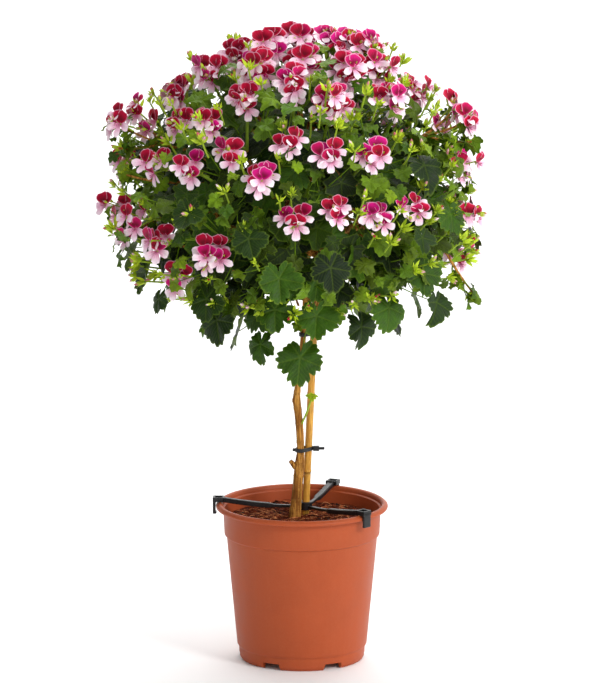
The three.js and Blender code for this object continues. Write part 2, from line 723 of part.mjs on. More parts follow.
// Points all over a leaf and its stalk, to keep it clear of what is near it
function leafSamples(leaf) {
  const at = leafPoints(leaf);
  const rim = LEAF_RIM.map((place) => at(...place));
  const between = rim.map((point, i) => point.clone().lerp(rim[(i + 1) % rim.length], 0.5));
  const inner = rim.map((point) => point.clone().lerp(leaf.joint, 0.5));
  const blade = [leaf.joint, ...rim, ...between, ...inner];
  const stalk = Array.from({ length: STALK_SAMPLES }, (_, i) => (
    leaf.joint.clone().lerp(leaf.root, (i + 1) / STALK_SAMPLES)
  ));
  return { blade, stalk };
}

// Sector 0 to 7 by its middle's direction round the axis, or 8 for the cap on top
function sectorOf(point) {
  const across = Math.hypot(point.x - CROWN_AXIS.x, point.y - CROWN_AXIS.y);
  if (Math.atan2(across, point.z - CROWN.z) < CAP_ANGLE) return SECTOR_COUNT;
  const angle = Math.atan2(point.y - CROWN_AXIS.y, point.x - CROWN_AXIS.x);
  return (Math.round((angle * SECTOR_COUNT) / (2 * Math.PI)) + SECTOR_COUNT) % SECTOR_COUNT;
}

function insideSector(point, sector, margin) {
  const [x, y, z] = [point.x - CROWN_AXIS.x, point.y - CROWN_AXIS.y, point.z - CROWN.z];
  const fromCone = Math.hypot(x, y) * Math.cos(CAP_ANGLE) - z * Math.sin(CAP_ANGLE);
  if (sector === SECTOR_COUNT) return fromCone < -margin;
  if (fromCone < 2 * margin) return false;
  return [-0.5, 0.5].every((half) => {
    const angle = (2 * Math.PI * (sector + half)) / SECTOR_COUNT;
    const side = -x * Math.sin(angle) + y * Math.cos(angle);
    return half < 0 ? side > margin : side < -margin;
  });
}

function distanceToLine(point, from, to) {
  const along = to.clone().sub(from);
  const length = along.lengthSq();
  const share = length > 0 ? point.clone().sub(from).dot(along) / length : 0;
  return point.distanceTo(from.clone().addScaledVector(along, THREE.MathUtils.clamp(share, 0, 1)));
}

// What a leaf has to stay clear of, as lines with a reach: heads, their stalks, trunk and cane
function obstacles(groups) {
  const lines = [];
  for (const group of groups) {
    const foot = stalkFoot(group);
    for (const head of group) {
      lines.push({ from: head.middle, to: head.middle, reach: head.radius + 0.6 });
      lines.push({ from: foot, to: headHub(head), reach: 7 });
    }
  }
  const stem = TRUNK_LINE.slice(-6).map((station) => new THREE.Vector3(...station));
  stem.slice(1).forEach((to, i) => lines.push({ from: stem[i], to, reach: 11 }));
  lines.push({ from: canePoint(380), to: canePoint(CANE_FOOT.z + CANE_LENGTH), reach: 12 });
  return lines;
}

function leafFits(leaf, sector, lines) {
  const { blade, stalk } = leafSamples(leaf);
  const clear = (point, share) => lines.every(
    ({ from, to, reach }) => distanceToLine(point, from, to) > reach * share,
  );
  const bladeFits = blade.every((point) => insideSector(point, sector, SECTOR_MARGIN)
    && clear(point, 1));
  return bladeFits && stalk.every((point) => insideSector(point, sector, SECTOR_MARGIN + 1))
    && stalk.slice(0, 0.7 * STALK_SAMPLES).every((point) => clear(point, 0.75));
}

// A leaf that faces outwards and up, with its tip hanging down
function crownLeaf(joint, length, turn) {
  const outward = crownOutward(joint);
  const level = outward.clone().setZ(0).normalize();
  const lift = Math.max(outward.z, 0);
  const face = level.clone().multiplyScalar(1 - 0.6 * lift).setZ(0.35 + lift);
  const side = new THREE.Vector3(0, 0, 1).cross(level);
  const tipWay = level.clone().multiplyScalar(0.6).setZ(-1).addScaledVector(side, turn);
  const root = crownPoint(joint.clone().sub(CROWN), 0.6 * CORE_SHARE);
  return { joint, tipWay, face, length, root };
}

function leavesBySector(groups) {
  const lines = obstacles(groups);
  const sectors = Array.from({ length: SECTOR_COUNT + 1 }, () => []);
  const grow = (joint, length, seed) => {
    const sector = sectorOf(joint);
    for (const [turn, share] of LEAF_FITS) {
      const leaf = crownLeaf(joint, share * length, turn + 0.3 * (scatter(seed, 7) - 0.5));
      const free = sectors[sector].every(
        (other) => other.joint.distanceTo(joint) > LEAF_SPACING * length,
      );
      if (free && leafFits(leaf, sector, lines)) {
        sectors[sector].push(leaf);
        return;
      }
    }
  };
  FRONT_LEAVES.forEach(([right, up, length], i) => {
    grow(seenPoint(right, up, FRONT_LEAF_SHARE, FRONT_LEAF_DEPTH), length, i);
  });
  for (const [share, count, length] of LEAF_LAYERS) {
    for (let i = 0; i < count; i += 1) {
      const size = length * (0.85 + 0.3 * scatter(i, share));
      grow(crownPoint(spreadDirection(i, count), share - 0.04 * scatter(i, 3)), size, i);
    }
  }
  return sectors;
}

// Limbs

// A wedge of the crown's woody, twiggy inside, uneven but alike where two wedges meet
function limbCore(sector) {
  const wide = (2 * Math.PI) / SECTOR_COUNT;
  const cap = sector === SECTOR_COUNT;
  const columns = cap ? 2 * SECTOR_COUNT : 3;
  const start = cap ? 0 : (sector - 0.5) * wide;
  const tilts = cap ? [CAP_ANGLE, CAP_ANGLE / 2] : [0, 1, 2, 3].map((i) => CAP_ANGLE + i * 0.6);
  const centre = new THREE.Vector3(CROWN_AXIS.x, CROWN_AXIS.y, CROWN.z);
  const onCore = (tilt, column) => {
    const angle = start + (column * wide) / 2;
    const turn = (Math.round((2 * angle) / wide) + 2 * SECTOR_COUNT) % (2 * SECTOR_COUNT);
    const uneven = 1 + CORE_RELIEF * Math.sin(tilt) * (2 * scatter(turn, tilt) - 1);
    const way = new THREE.Vector3(
      Math.sin(tilt) * Math.cos(angle), Math.sin(tilt) * Math.sin(angle), Math.cos(tilt),
    );
    return centre.clone().addScaledVector(way, (uneven * CORE_SHARE) / crownReach(way));
  };
  const points = [centre, onCore(cap ? 0 : Math.PI, 0)];
  for (const tilt of tilts) {
    for (let j = 0; j < columns; j += 1) points.push(onCore(tilt, j));
  }
  const at = (row, j) => 2 + row * columns + (j % columns);
  const spans = cap ? columns : columns - 1;
  const lastRow = tilts.length - 1;
  const faces = [];
  for (let j = 0; j < spans; j += 1) {
    faces.push([0, at(0, j + 1), at(0, j)], [1, at(lastRow, j), at(lastRow, j + 1)]);
    for (let row = 0; row < lastRow; row += 1) {
      faces.push([at(row, j), at(row, j + 1), at(row + 1, j)]);
      faces.push([at(row, j + 1), at(row + 1, j + 1), at(row + 1, j)]);
    }
  }
  if (!cap) {
    for (const j of [0, columns - 1]) {
      const edge = [...tilts.keys()].map((row) => at(row, j)).concat(1);
      edge.slice(1).forEach((point, i) => {
        faces.push(j === 0 ? [0, edge[i], point] : [0, point, edge[i]]);
      });
    }
  }
  return solidFromFaces(points, faces);
}

function limbShift(sector) {
  if (sector === SECTOR_COUNT) return [0, 0, GAP];
  const angle = (2 * Math.PI * sector) / SECTOR_COUNT;
  return [0.8 * Math.cos(angle), 0.8 * Math.sin(angle), 0];
}

// A short twig from the limb to just below a flower stalk, whose square end may lean to it
function twigSolid(group) {
  const foot = stalkFoot(group);
  const centre = new THREE.Vector3(CROWN_AXIS.x, CROWN_AXIS.y, CROWN.z);
  const inward = centre.sub(foot).normalize();
  const leans = group.map((head) => foot.clone().sub(headHub(head)).cross(inward).length()
    / foot.distanceTo(headHub(head)));
  const start = foot.clone().addScaledVector(inward, GAP + STALK_RADIUS * Math.max(...leans));
  const end = foot.clone().addScaledVector(inward, TWIG_LENGTH);
  return taperedTube([[...start, STALK_RADIUS], [...end, TWIG_ROOT_RADIUS]], 4, 1);
}

const LIMB_NAMES = [
  'limb_right', 'limb_back_right', 'limb_back', 'limb_back_left', 'limb_left',
  'limb_front_left', 'limb_front', 'limb_front_right', 'limb_top',
];

function limbSolid(sector, leaves, groups) {
  const core = limbCore(sector).translate(limbShift(sector));
  const carried = groups.filter((group) => sectorOf(stalkFoot(group)) === sector);
  const grown = joined([core, ...carried.map(twigSolid), ...leaves.map(leafSolid)]);
  return grown.subtract(trunkSolid(GAP)).subtract(caneSolid(GAP));
}

place('pot', potSolid(), terracotta);
place('soil', soilSolid(), bark);
place('stake_holder', holderSolid(), black);
place('cane', caneSolid(), bamboo);
place('trunk', trunkSolid(), wood);
place('side_shoot', sideShootSolid(), limeGreen);
place('tie_lower', tieSolid(LOWER_TIE_HEIGHT, 4.9, [
  [[13.6, 10.5, 255.2], [21, 15.5, 261.2]], [[20, 12, 256.6], [27.4, 13.4, 260]],
  [[-11.5, 4, 256.4], [-7.6, 6, 260]],
]), black);
place('tie_upper', tieSolid(UPPER_TIE_HEIGHT, 3.8, [
  [[20, 7.5, 399.2], [28, 13, 404.8]],
]), black);

const heads = headPlaces();
const groups = headGroups(heads);
const leaves = leavesBySector(groups);
LIMB_NAMES.forEach((name, sector) => {
  place(name, limbSolid(sector, leaves[sector], groups), leafGreen);
});
groups.forEach((group, i) => {
  place(`umbel_${String(i + 1).padStart(2, '0')}`, headGroupSolid(group, i), petalPink);
});

export default plant;
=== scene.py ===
"""Dresses a potted regal geranium grown as a standard: a flowering crown on one bare trunk.

Sizes are in millimetres and in the frame's own axes: +Z up, the front looks towards -Y, and the
origin is the middle of the pot's flat base. Meshes are turned into metres when they are made.
"""

import logging
import math
from dataclasses import dataclass, field
from enum import Enum
from itertools import combinations
from typing import Callable, Sequence

import bmesh
import bpy
import numpy as np
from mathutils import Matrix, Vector, noise


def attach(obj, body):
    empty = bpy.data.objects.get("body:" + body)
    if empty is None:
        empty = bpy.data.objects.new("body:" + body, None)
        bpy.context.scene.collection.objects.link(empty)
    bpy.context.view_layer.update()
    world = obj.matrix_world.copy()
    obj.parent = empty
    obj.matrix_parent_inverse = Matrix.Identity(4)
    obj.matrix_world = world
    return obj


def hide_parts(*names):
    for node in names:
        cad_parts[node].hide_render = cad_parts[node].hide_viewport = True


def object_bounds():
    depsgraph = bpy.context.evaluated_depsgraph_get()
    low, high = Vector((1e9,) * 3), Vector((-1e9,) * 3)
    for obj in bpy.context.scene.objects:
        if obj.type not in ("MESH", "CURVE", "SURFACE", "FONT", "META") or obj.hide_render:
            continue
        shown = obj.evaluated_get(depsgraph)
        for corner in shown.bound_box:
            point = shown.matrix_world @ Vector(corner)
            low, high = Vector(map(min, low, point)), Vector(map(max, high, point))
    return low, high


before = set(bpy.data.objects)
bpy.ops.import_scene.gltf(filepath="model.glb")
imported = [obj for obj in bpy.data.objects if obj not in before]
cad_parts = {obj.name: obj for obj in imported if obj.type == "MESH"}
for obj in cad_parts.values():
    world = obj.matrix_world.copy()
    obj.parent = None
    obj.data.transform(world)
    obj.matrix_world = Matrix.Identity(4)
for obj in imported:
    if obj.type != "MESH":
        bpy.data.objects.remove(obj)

CAD_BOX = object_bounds()
LOG = logging.getLogger("geranium")
MM = 0.001
GAP = 0.3
BODY = "root"
VEIN_ANGLE = math.radians(72)

Array = np.ndarray
Colour = tuple[float, float, float]
Draws = np.random.Generator
Material = bpy.types.Material
Node = bpy.types.Node
Piece = bpy.types.Object
Place = tuple[float, float, float]
Socket = bpy.types.NodeSocket
Tree = bpy.types.NodeTree


class Slot(Enum):
    """The record's material slots."""

    POT = "pot_plastic"
    MIX = "potting_mix"
    BLACK = "black_plastic"
    CANE = "bamboo"
    BARK = "trunk_bark"
    YOUNG = "young_growth"
    LEAVES = "leaves"
    PETALS = "petals"


# Geometry helpers


def unit(vectors: Array) -> Array:
    """Vectors of length 1 along the last axis."""
    length = np.linalg.norm(vectors, axis=-1, keepdims=True)
    return vectors / np.maximum(length, 1e-9)


def within_cad(points: Array, margin: float) -> bool:
    """Whether points lie inside the CAD model's box, clear of its sides by a margin."""
    low, high = (np.array(corner) / MM for corner in CAD_BOX)
    return bool((points > low + margin).all() and (points < high - margin).all())


def scatter(i: float, j: float) -> float:
    """A repeatable number from 0 to 1 for a pair of numbers."""
    value = math.sin(i * 12.9898 + j * 78.233) * 43758.5453
    return value - math.floor(value)


def smooth_line(stations: Sequence[Sequence[float]], count: int) -> Array:
    """Points on a smooth curve through stations.

    Args:
        stations: rows of any length, such as x, y, z and a radius.
        count: how many points to return.

    Returns:
        The points, as rows of the same length.
    """
    rows = np.asarray(stations, float)
    rows = np.vstack([2 * rows[0] - rows[1], rows, 2 * rows[-1] - rows[-2]])
    places = np.linspace(0, len(rows) - 3 - 1e-6, count)
    first = places.astype(int)
    t = (places - first)[:, None]
    a, b, c, d = (rows[first + k] for k in range(4))
    return 0.5 * (2 * b + (c - a) * t + (2 * a - 5 * b + 4 * c - d) * t**2 + (3 * b - a - 3 * c + d) * t**3)


def bowed_lines(starts: Array, ends: Array, pulls: Array, count: int) -> Array:
    """Curves from starts to ends that bow out by a pull.

    Args:
        starts: where each starts.
        ends: where each ends.
        pulls: how far each bows out, as a vector.
        count: the points of each.

    Returns:
        The curves, as (lines, count, 3).
    """
    t = np.linspace(0, 1, count)[None, :, None]
    middles = (starts + ends)[:, None] / 2 + pulls[:, None]
    return starts[:, None] * (1 - t) ** 2 + 2 * middles * t * (1 - t) + ends[:, None] * t**2


def tubes(lines: Array, radii: Array, sides: int) -> tuple[Array, Array]:
    """Closed round tubes along lines.

    Args:
        lines: the middles, as (tubes, stations, 3).
        radii: one radius for each station, or for each station of each tube.
        sides: the number of sides.

    Returns:
        The points of each tube, and the triangles of one.
    """
    count, stations = lines.shape[:2]
    tangents = unit(np.gradient(lines, axis=1))
    upright = np.abs(tangents[..., 2].mean(axis=1)) > 0.8
    reference = np.where(upright[:, None, None], (0.0, 1.0, 0.0), (0.0, 0.0, 1.0))
    side = unit(np.cross(reference, tangents))
    other = np.cross(tangents, side)
    angles = np.linspace(0, 2 * np.pi, sides, endpoint=False)
    reach = np.broadcast_to(radii, (count, stations))[..., None, None]
    rings = lines[:, :, None] + reach * (
        side[:, :, None] * np.cos(angles)[:, None] + other[:, :, None] * np.sin(angles)[:, None]
    )
    points = np.concatenate([rings.reshape(count, -1, 3), lines[:, :1], lines[:, -1:]], axis=1)
    return points, ring_faces(stations, sides, capped=True)


def ring_faces(rows: int, columns: int, capped: bool = False, closed: bool = False) -> Array:
    """Triangles between rows of points that each go round.

    Args:
        rows: the number of rows.
        columns: the points in a row.
        capped: two more points close the first and the last row.
        closed: the last row joins the first, as in a ring.

    Returns:
        The triangles, as rows of three indices.
    """
    row, column = np.meshgrid(np.arange(rows if closed else rows - 1), np.arange(columns), indexing="ij")
    beside = (column + 1) % columns
    above = (row + 1) % rows
    a, b = (row * columns + column).ravel(), (row * columns + beside).ravel()
    c, d = (above * columns + beside).ravel(), (above * columns + column).ravel()
    faces = [np.column_stack([a, b, c]), np.column_stack([a, c, d])]
    if capped:
        turn = np.arange(columns)
        after = (turn + 1) % columns
        top = (rows - 1) * columns
        foot = np.full(columns, rows * columns)
        faces.append(np.column_stack([foot, after, turn]))
        faces.append(np.column_stack([foot + 1, top + turn, top + after]))
    return np.vstack(faces)


@dataclass
class Blade:
    """A thin closed shell with a curved face, such as a leaf or a petal."""

    points: Array
    faces: Array
    edge: Array
    under: Array

    @classmethod
    def shaped(
        cls,
        outline: Array,
        hub: Sequence[float],
        rings: Sequence[float],
        relief: Callable[[Array], Array],
        thickness: float,
    ) -> "Blade":
        """Builds the shell from its outline.

        Args:
            outline: points round the blade, anticlockwise seen from its face.
            hub: the point that the rings grow from.
            rings: shares of the way from the hub to the outline, up to 1.
            relief: gives the height at each flat point.
            thickness: between the face and the under side.

        Returns:
            The blade, with its edge value from 0 at the hub to 1 at the outline.
        """
        count = len(outline)
        start = np.asarray(hub, float)
        flat = np.vstack([start[None], *[start + (outline - start) * share for share in rings]])
        face = np.column_stack([flat, relief(flat)])
        under = face[:-count] - (0, 0, thickness)
        last = len(rings) - 1
        top_rows = [1 + k * count + np.arange(count) for k in range(len(rings))]
        under_rows = [len(face) + row for row in top_rows[:last]] + [top_rows[last]]
        faces = []
        for rows, middle, order in ((top_rows, 0, 1), (under_rows, len(face), -1)):
            after = [np.roll(row, -1) for row in rows]
            fan = [np.full(count, middle), rows[0], after[0]]
            faces.append(np.column_stack(fan)[:, ::order])
            for k in range(last):
                faces.append(np.column_stack([rows[k], rows[k + 1], after[k + 1]])[:, ::order])
                faces.append(np.column_stack([rows[k], after[k + 1], after[k]])[:, ::order])
        shares = np.concatenate([[0.0], np.repeat(rings, count)])
        edge = np.concatenate([shares, shares[:-count]])
        below = np.concatenate([np.zeros(len(face)), np.ones(len(under))])
        return cls(np.vstack([face, under]), np.vstack(faces), edge, below)

    def place(self, copies: int = 1) -> Array:
        """Each point's place on the flat blade, for a number of copies."""
        flat = self.points * (1, 1, 0)
        return np.repeat(flat[None], copies, axis=0)


def stood(points: Array, frames: Array, middles: Array, sizes: Array) -> Array:
    """Copies of a shape, each turned, sized and moved.

    Args:
        points: the shape, or one shape for each copy.
        frames: each copy's side, along and face directions, as rows.
        middles: each copy's place.
        sizes: each copy's size.

    Returns:
        The points, as (copies, points, 3).
    """
    shapes = np.broadcast_to(points, (len(middles), *points.shape[-2:]))
    turned = np.einsum("mvk,mkj->mvj", shapes, frames)
    return middles[:, None] + np.asarray(sizes)[:, None, None] * turned


def rounded_box(
    low: Sequence[float], high: Sequence[float], edge: float, steps: int = 3
) -> tuple[Array, Array]:
    """A box with rounded edges.

    Args:
        low: its lowest corner.
        high: its highest corner.
        edge: the radius of its edges.
        steps: how many strips make each rounded edge.

    Returns:
        Its points and triangles.
    """
    shape = bmesh.new()
    bmesh.ops.create_cube(shape, size=1)
    size = np.subtract(high, low)
    for vertex in shape.verts:
        vertex.co = Vector(np.add(low, high) / 2 + size * np.array(vertex.co))
    bmesh.ops.bevel(shape, geom=shape.edges[:], offset=edge, segments=steps, profile=0.6, affect="EDGES")
    bmesh.ops.triangulate(shape, faces=shape.faces[:])
    points = np.array([vertex.co[:] for vertex in shape.verts])
    faces = np.array([[vertex.index for vertex in face.verts] for face in shape.faces])
    shape.free()
    # Sorted, because the bevel's faces come in another order each run
    return points, faces[np.lexsort(faces.T)]


def turned_about(points: Array, angle: float) -> Array:
    """Points turned round the Z axis by an angle in radians."""
    c, s = math.cos(angle), math.sin(angle)
    return points @ np.array([[c, s, 0], [-s, c, 0], [0, 0, 1]])


@dataclass
class MeshBatch:
    """Gathers many copies of shapes, with named values at their points, for one mesh."""

    points: list[Array] = field(default_factory=list)
    faces: list[Array] = field(default_factory=list)
    values: dict[str, list[Array]] = field(default_factory=dict)
    count: int = 0

    def add(self, points: Array, faces: Array, **values: Array | float) -> None:
        """Adds copies of one shape.

        Args:
            points: the points of one shape, or of each copy.
            faces: the triangles of one copy.
            values: a number or a vector for each point of each copy, or one for all.
        """
        copies = points[None] if points.ndim == 2 else points
        many, each = copies.shape[:2]
        shift = self.count + each * np.arange(many)[:, None, None]
        self.points.append(copies.reshape(-1, 3))
        self.faces.append((faces[None] + shift).reshape(-1, 3))
        for name, value in values.items():
            given = np.asarray(value, float)
            shape = (many, each, 3) if given.ndim == 3 else (many, each)
            spread = np.broadcast_to(given, shape)
            self.values.setdefault(name, []).append(spread.reshape(many * each, -1))
        self.count += many * each

    def add_green(
        self, points: Array, faces: Array, tone: float, young: float, edge: Array | float = 0.0
    ) -> None:
        """Adds a green part that has no veins of its own, such as a stalk or a sepal.

        Args:
            points: its points.
            faces: its triangles.
            tone: how light it is.
            young: how lime-green it is.
            edge: how near each point is to the rim.
        """
        self.add(points, faces, place=np.zeros((1, 1, 3)), edge=edge, under=0.0, tone=tone, young=young)

    def add_green_tubes(self, lines: Array, radii: Array, sides: int, tone: float, young: float) -> None:
        """Adds green tubes along lines.

        Args:
            lines: their middles.
            radii: the radius at each station.
            sides: the number of sides.
            tone: how light they are.
            young: how lime-green they are.
        """
        points, faces = tubes(lines, radii, sides)
        self.add_green(points, faces, tone, young)

    def keep_in_cad(self) -> None:
        """Moves the few points that stand outside the CAD model's box onto its sides."""
        low, high = (np.array(corner) / MM for corner in CAD_BOX)
        self.points = [np.clip(part, low, high) for part in self.points]

    def build(self, name: str, material: Material, crease: float) -> Piece:
        """Makes the mesh object.

        Args:
            name: the piece's name.
            material: its material.
            crease: edges that turn by more degrees than this stay sharp.

        Returns:
            The object, linked to the scene.
        """
        points = np.concatenate(self.points) * MM
        faces = np.concatenate(self.faces)
        mesh = bpy.data.meshes.new(name)
        mesh.vertices.add(len(points))
        mesh.vertices.foreach_set("co", points.ravel())
        mesh.loops.add(faces.size)
        mesh.loops.foreach_set("vertex_index", faces.ravel().astype(np.int32))
        mesh.polygons.add(len(faces))
        mesh.polygons.foreach_set("loop_start", np.arange(0, faces.size, 3, dtype=np.int32))
        mesh.polygons.foreach_set("use_smooth", np.ones(len(faces), bool))
        for key, parts in self.values.items():
            value = np.concatenate(parts)
            kind, slot = ("FLOAT_VECTOR", "vector") if value.shape[1] == 3 else ("FLOAT", "value")
            layer = mesh.attributes.new(key, kind, "POINT")
            layer.data.foreach_set(slot, value.ravel())
        mesh.update(calc_edges=True)
        mesh.validate()
        mesh.set_sharp_from_angle(angle=math.radians(crease))
        mesh.materials.append(material)
        piece = bpy.data.objects.new(name, mesh)
        bpy.context.scene.collection.objects.link(piece)
        return piece

    def finish(self, name: str, palette: "Palette", slot: Slot, *nodes: str, crease: float = 50) -> None:
        """Makes the piece in its slot's material, ties it to the frame and reports it.

        Args:
            name: the piece's name.
            palette: the materials.
            slot: its material slot.
            nodes: the CAD nodes that it stands for.
            crease: edges that turn by more degrees than this stay sharp.
        """
        piece = self.build(name, palette[slot], crease)
        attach(piece, BODY)
        if nodes:
            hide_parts(*nodes)
        LOG.info("%s: %d faces, %s", piece.name, len(piece.data.polygons), slot.value)


# Shaders


def srgb(red: float, green: float, blue: float) -> Colour:
    """A linear colour from display values of 0 to 255."""
    parts = (value / 255 for value in (red, green, blue))
    return tuple(v / 12.92 if v <= 0.04045 else ((v + 0.055) / 1.055) ** 2.4 for v in parts)


class Shade:
    """Adds nodes to one shader tree and joins them."""

    def __init__(self, tree: Tree) -> None:
        """Starts on an empty tree."""
        self.tree = tree

    def add(self, kind: str, sockets: dict | None = None, **settings: object) -> Node:
        """Adds a node.

        Args:
            kind: its type, without the ShaderNode in front.
            sockets: values or sockets for its inputs, by name or number.
            settings: its properties.

        Returns:
            The node.
        """
        node = self.tree.nodes.new("ShaderNode" + kind)
        for name, value in settings.items():
            setattr(node, name, value)
        for key, value in (sockets or {}).items():
            self.feed(node.inputs[key], value)
        return node

    def feed(self, socket: Socket, value: object) -> None:
        """Links a socket to an input, or sets the input's value.

        Args:
            socket: the input.
            value: a socket, a colour or a number.
        """
        if isinstance(value, Socket):
            self.tree.links.new(value, socket)
        elif socket.type == "RGBA":
            socket.default_value = (*value, 1.0)
        else:
            socket.default_value = value

    def math(self, operation: str, *values: object) -> Socket:
        """The result of a sum on numbers."""
        return self.add("Math", dict(enumerate(values)), operation=operation).outputs[0]

    def times(self, first: object, second: object) -> Socket:
        """One number times another."""
        return self.math("MULTIPLY", first, second)

    def scaled(self, value: object, scale: object, shift: object) -> Socket:
        """A number times a scale, plus a shift."""
        return self.math("MULTIPLY_ADD", value, scale, shift)

    def inverse(self, value: object) -> Socket:
        """One less a number."""
        return self.math("SUBTRACT", 1.0, value)

    def mix(self, factor: object, first: object, second: object, blend: str = "MIX") -> Socket:
        """A mix of two colours."""
        node = self.add("Mix", {0: factor, 6: first, 7: second}, data_type="RGBA", blend_type=blend)
        return node.outputs[2]

    def ramp(self, value: object, low: float, high: float, start: float = 0, end: float = 1) -> Socket:
        """A soft step from start to end as a value goes from low to high."""
        sockets = {0: value, 1: low, 2: high, 3: start, 4: end}
        return self.add("MapRange", sockets, interpolation_type="SMOOTHSTEP").outputs[0]

    def attribute(self, name: str, output: str = "Fac") -> Socket:
        """A value stored at the mesh's points."""
        return self.add("Attribute", attribute_name=name).outputs[output]

    def split(self, vector: Socket) -> list[Socket]:
        """The three numbers of a vector."""
        return list(self.add("SeparateXYZ", {0: vector}).outputs)

    def group(self, tree: Tree, **inputs: object) -> Node:
        """Places a shared group, with values for its inputs.

        Args:
            tree: the group.
            inputs: values or sockets, by the input's name in small letters.

        Returns:
            The node.
        """
        node = self.add("Group", node_tree=tree)
        for name, value in inputs.items():
            self.feed(node.inputs[name.replace("_", " ").capitalize()], value)
        return node


def shared_group(
    name: str,
    inputs: dict[str, tuple[str, object]],
    outputs: dict[str, str],
    wire: Callable[[Shade, dict[str, Socket]], dict[str, Socket]],
) -> Tree:
    """Builds a shader group that several materials place.

    Args:
        name: the group's name.
        inputs: each input's socket kind and first value.
        outputs: each output's socket kind.
        wire: adds the nodes and gives the socket for each output.

    Returns:
        The group.
    """
    tree = bpy.data.node_groups.new(name, "ShaderNodeTree")
    for key, (kind, value) in inputs.items():
        socket = tree.interface.new_socket(name=key, in_out="INPUT", socket_type="NodeSocket" + kind)
        if value is not None:
            socket.default_value = value
    for key, kind in outputs.items():
        tree.interface.new_socket(name=key, in_out="OUTPUT", socket_type="NodeSocket" + kind)
    shade = Shade(tree)
    source = tree.nodes.new("NodeGroupInput")
    results = wire(shade, {key: source.outputs[key] for key in inputs})
    sink = tree.nodes.new("NodeGroupOutput")
    for key, socket in results.items():
        tree.links.new(socket, sink.inputs[key])
    return tree


class SharedEffects:
    """The shader groups that more than one material uses, each built once."""

    def __init__(self) -> None:
        """Builds the groups."""
        self.mottle = shared_group(
            "Mottle",
            {"Place": ("Vector", None), "Scale": ("Float", 100.0), "Depth": ("Float", 0.2)},
            {"Tint": "Color", "Value": "Float"},
            self._mottle,
        )
        self.streaks = shared_group(
            "Lengthwise streaks",
            {"Place": ("Vector", None), "Fine": ("Float", 900.0), "Stretch": ("Float", 0.05)},
            {"Value": "Float", "Height": "Float"},
            self._streaks,
        )
        self.veins = shared_group(
            "Leaf veins",
            {"Place": ("Vector", None), "Width": ("Float", 0.03)},
            {"Main": "Float", "Side": "Float"},
            self._veins,
        )
        self.dust = shared_group(
            "Settled dust",
            {"Place": ("Vector", None), "Amount": ("Float", 0.3)},
            {"Mask": "Float"},
            self._dust,
        )

    @staticmethod
    def _mottle(shade: Shade, given: dict) -> dict:
        """Soft blotches of two sizes, as a grey tint round white and as a value.

        Args:
            shade: the group's tree.
            given: the group's inputs, by name.

        Returns:
            The group's outputs, by name.
        """
        coarse = shade.add("TexNoise", {"Vector": given["Place"], "Scale": given["Scale"], "Detail": 3.0})
        finer = shade.times(given["Scale"], 4.7)
        fine = shade.add("TexNoise", {"Vector": given["Place"], "Scale": finer, "Detail": 4.0})
        both = shade.scaled(fine.outputs["Fac"], 0.4, coarse.outputs["Fac"])
        value = shade.ramp(both, 0.42, 0.98)
        dark = shade.inverse(given["Depth"])
        light = shade.math("ADD", 1.0, given["Depth"])
        grey = shade.add("MapRange", {0: value, 3: dark, 4: light}).outputs[0]
        tint = shade.add("CombineColor", {0: grey, 1: grey, 2: grey}).outputs[0]
        return {"Tint": tint, "Value": value}

    @staticmethod
    def _streaks(shade: Shade, given: dict) -> dict:
        """Fibres that run up the piece, with the relief that goes with them.

        Args:
            shade: the group's tree.
            given: the group's inputs, by name.

        Returns:
            The group's outputs, by name.
        """
        x, y, z = shade.split(given["Place"])
        drawn = shade.times(z, given["Stretch"])
        place = shade.add("CombineXYZ", {0: x, 1: y, 2: drawn}).outputs[0]
        fibre = shade.add("TexNoise", {"Vector": place, "Scale": given["Fine"], "Detail": 3.0})
        value = shade.ramp(fibre.outputs["Fac"], 0.33, 0.68)
        broad = shade.times(given["Fine"], 0.3)
        bands = shade.add("TexNoise", {"Vector": place, "Scale": broad, "Detail": 2.0})
        height = shade.scaled(value, 0.5, bands.outputs["Fac"])
        return {"Value": value, "Height": height}

    @staticmethod
    def _veins(shade: Shade, given: dict) -> dict:
        """Veins that fan out from where the stalk meets the blade, and their side veins.

        Args:
            shade: the group's tree.
            given: the group's inputs, by name.

        Returns:
            The group's outputs, by name.
        """
        x, y, _ = shade.split(given["Place"])
        turn = shade.math("ARCTAN2", x, y)
        off = shade.math("PINGPONG", turn, VEIN_ANGLE / 2)
        reach = shade.math("POWER", shade.math("ADD", shade.times(x, x), shade.times(y, y)), 0.5)
        across = shade.times(off, reach)
        thin = shade.times(given["Width"], shade.math("SUBTRACT", 1.15, reach))
        main = shade.inverse(shade.ramp(shade.math("DIVIDE", across, thin), 0.2, 1.0))
        along = shade.scaled(across, -1.3, reach)
        wave = shade.math("PINGPONG", along, 0.045)
        side = shade.inverse(shade.ramp(wave, 0.0, 0.016))
        return {"Main": main, "Side": side}

    @staticmethod
    def _dust(shade: Shade, given: dict) -> dict:
        """Dust and dried splashes on what looks up.

        Args:
            shade: the group's tree.
            given: the group's inputs, by name.

        Returns:
            The group's outputs, by name.
        """
        normal = shade.split(shade.add("NewGeometry").outputs["Normal"])[2]
        level = shade.ramp(normal, 0.1, 0.95)
        grain = shade.add("TexNoise", {"Vector": given["Place"], "Scale": 420.0, "Detail": 5.0})
        patches = shade.ramp(grain.outputs["Fac"], 0.42, 0.62)
        spread = shade.scaled(level, 0.75, 0.25)
        return {"Mask": shade.times(shade.times(spread, patches), given["Amount"])}


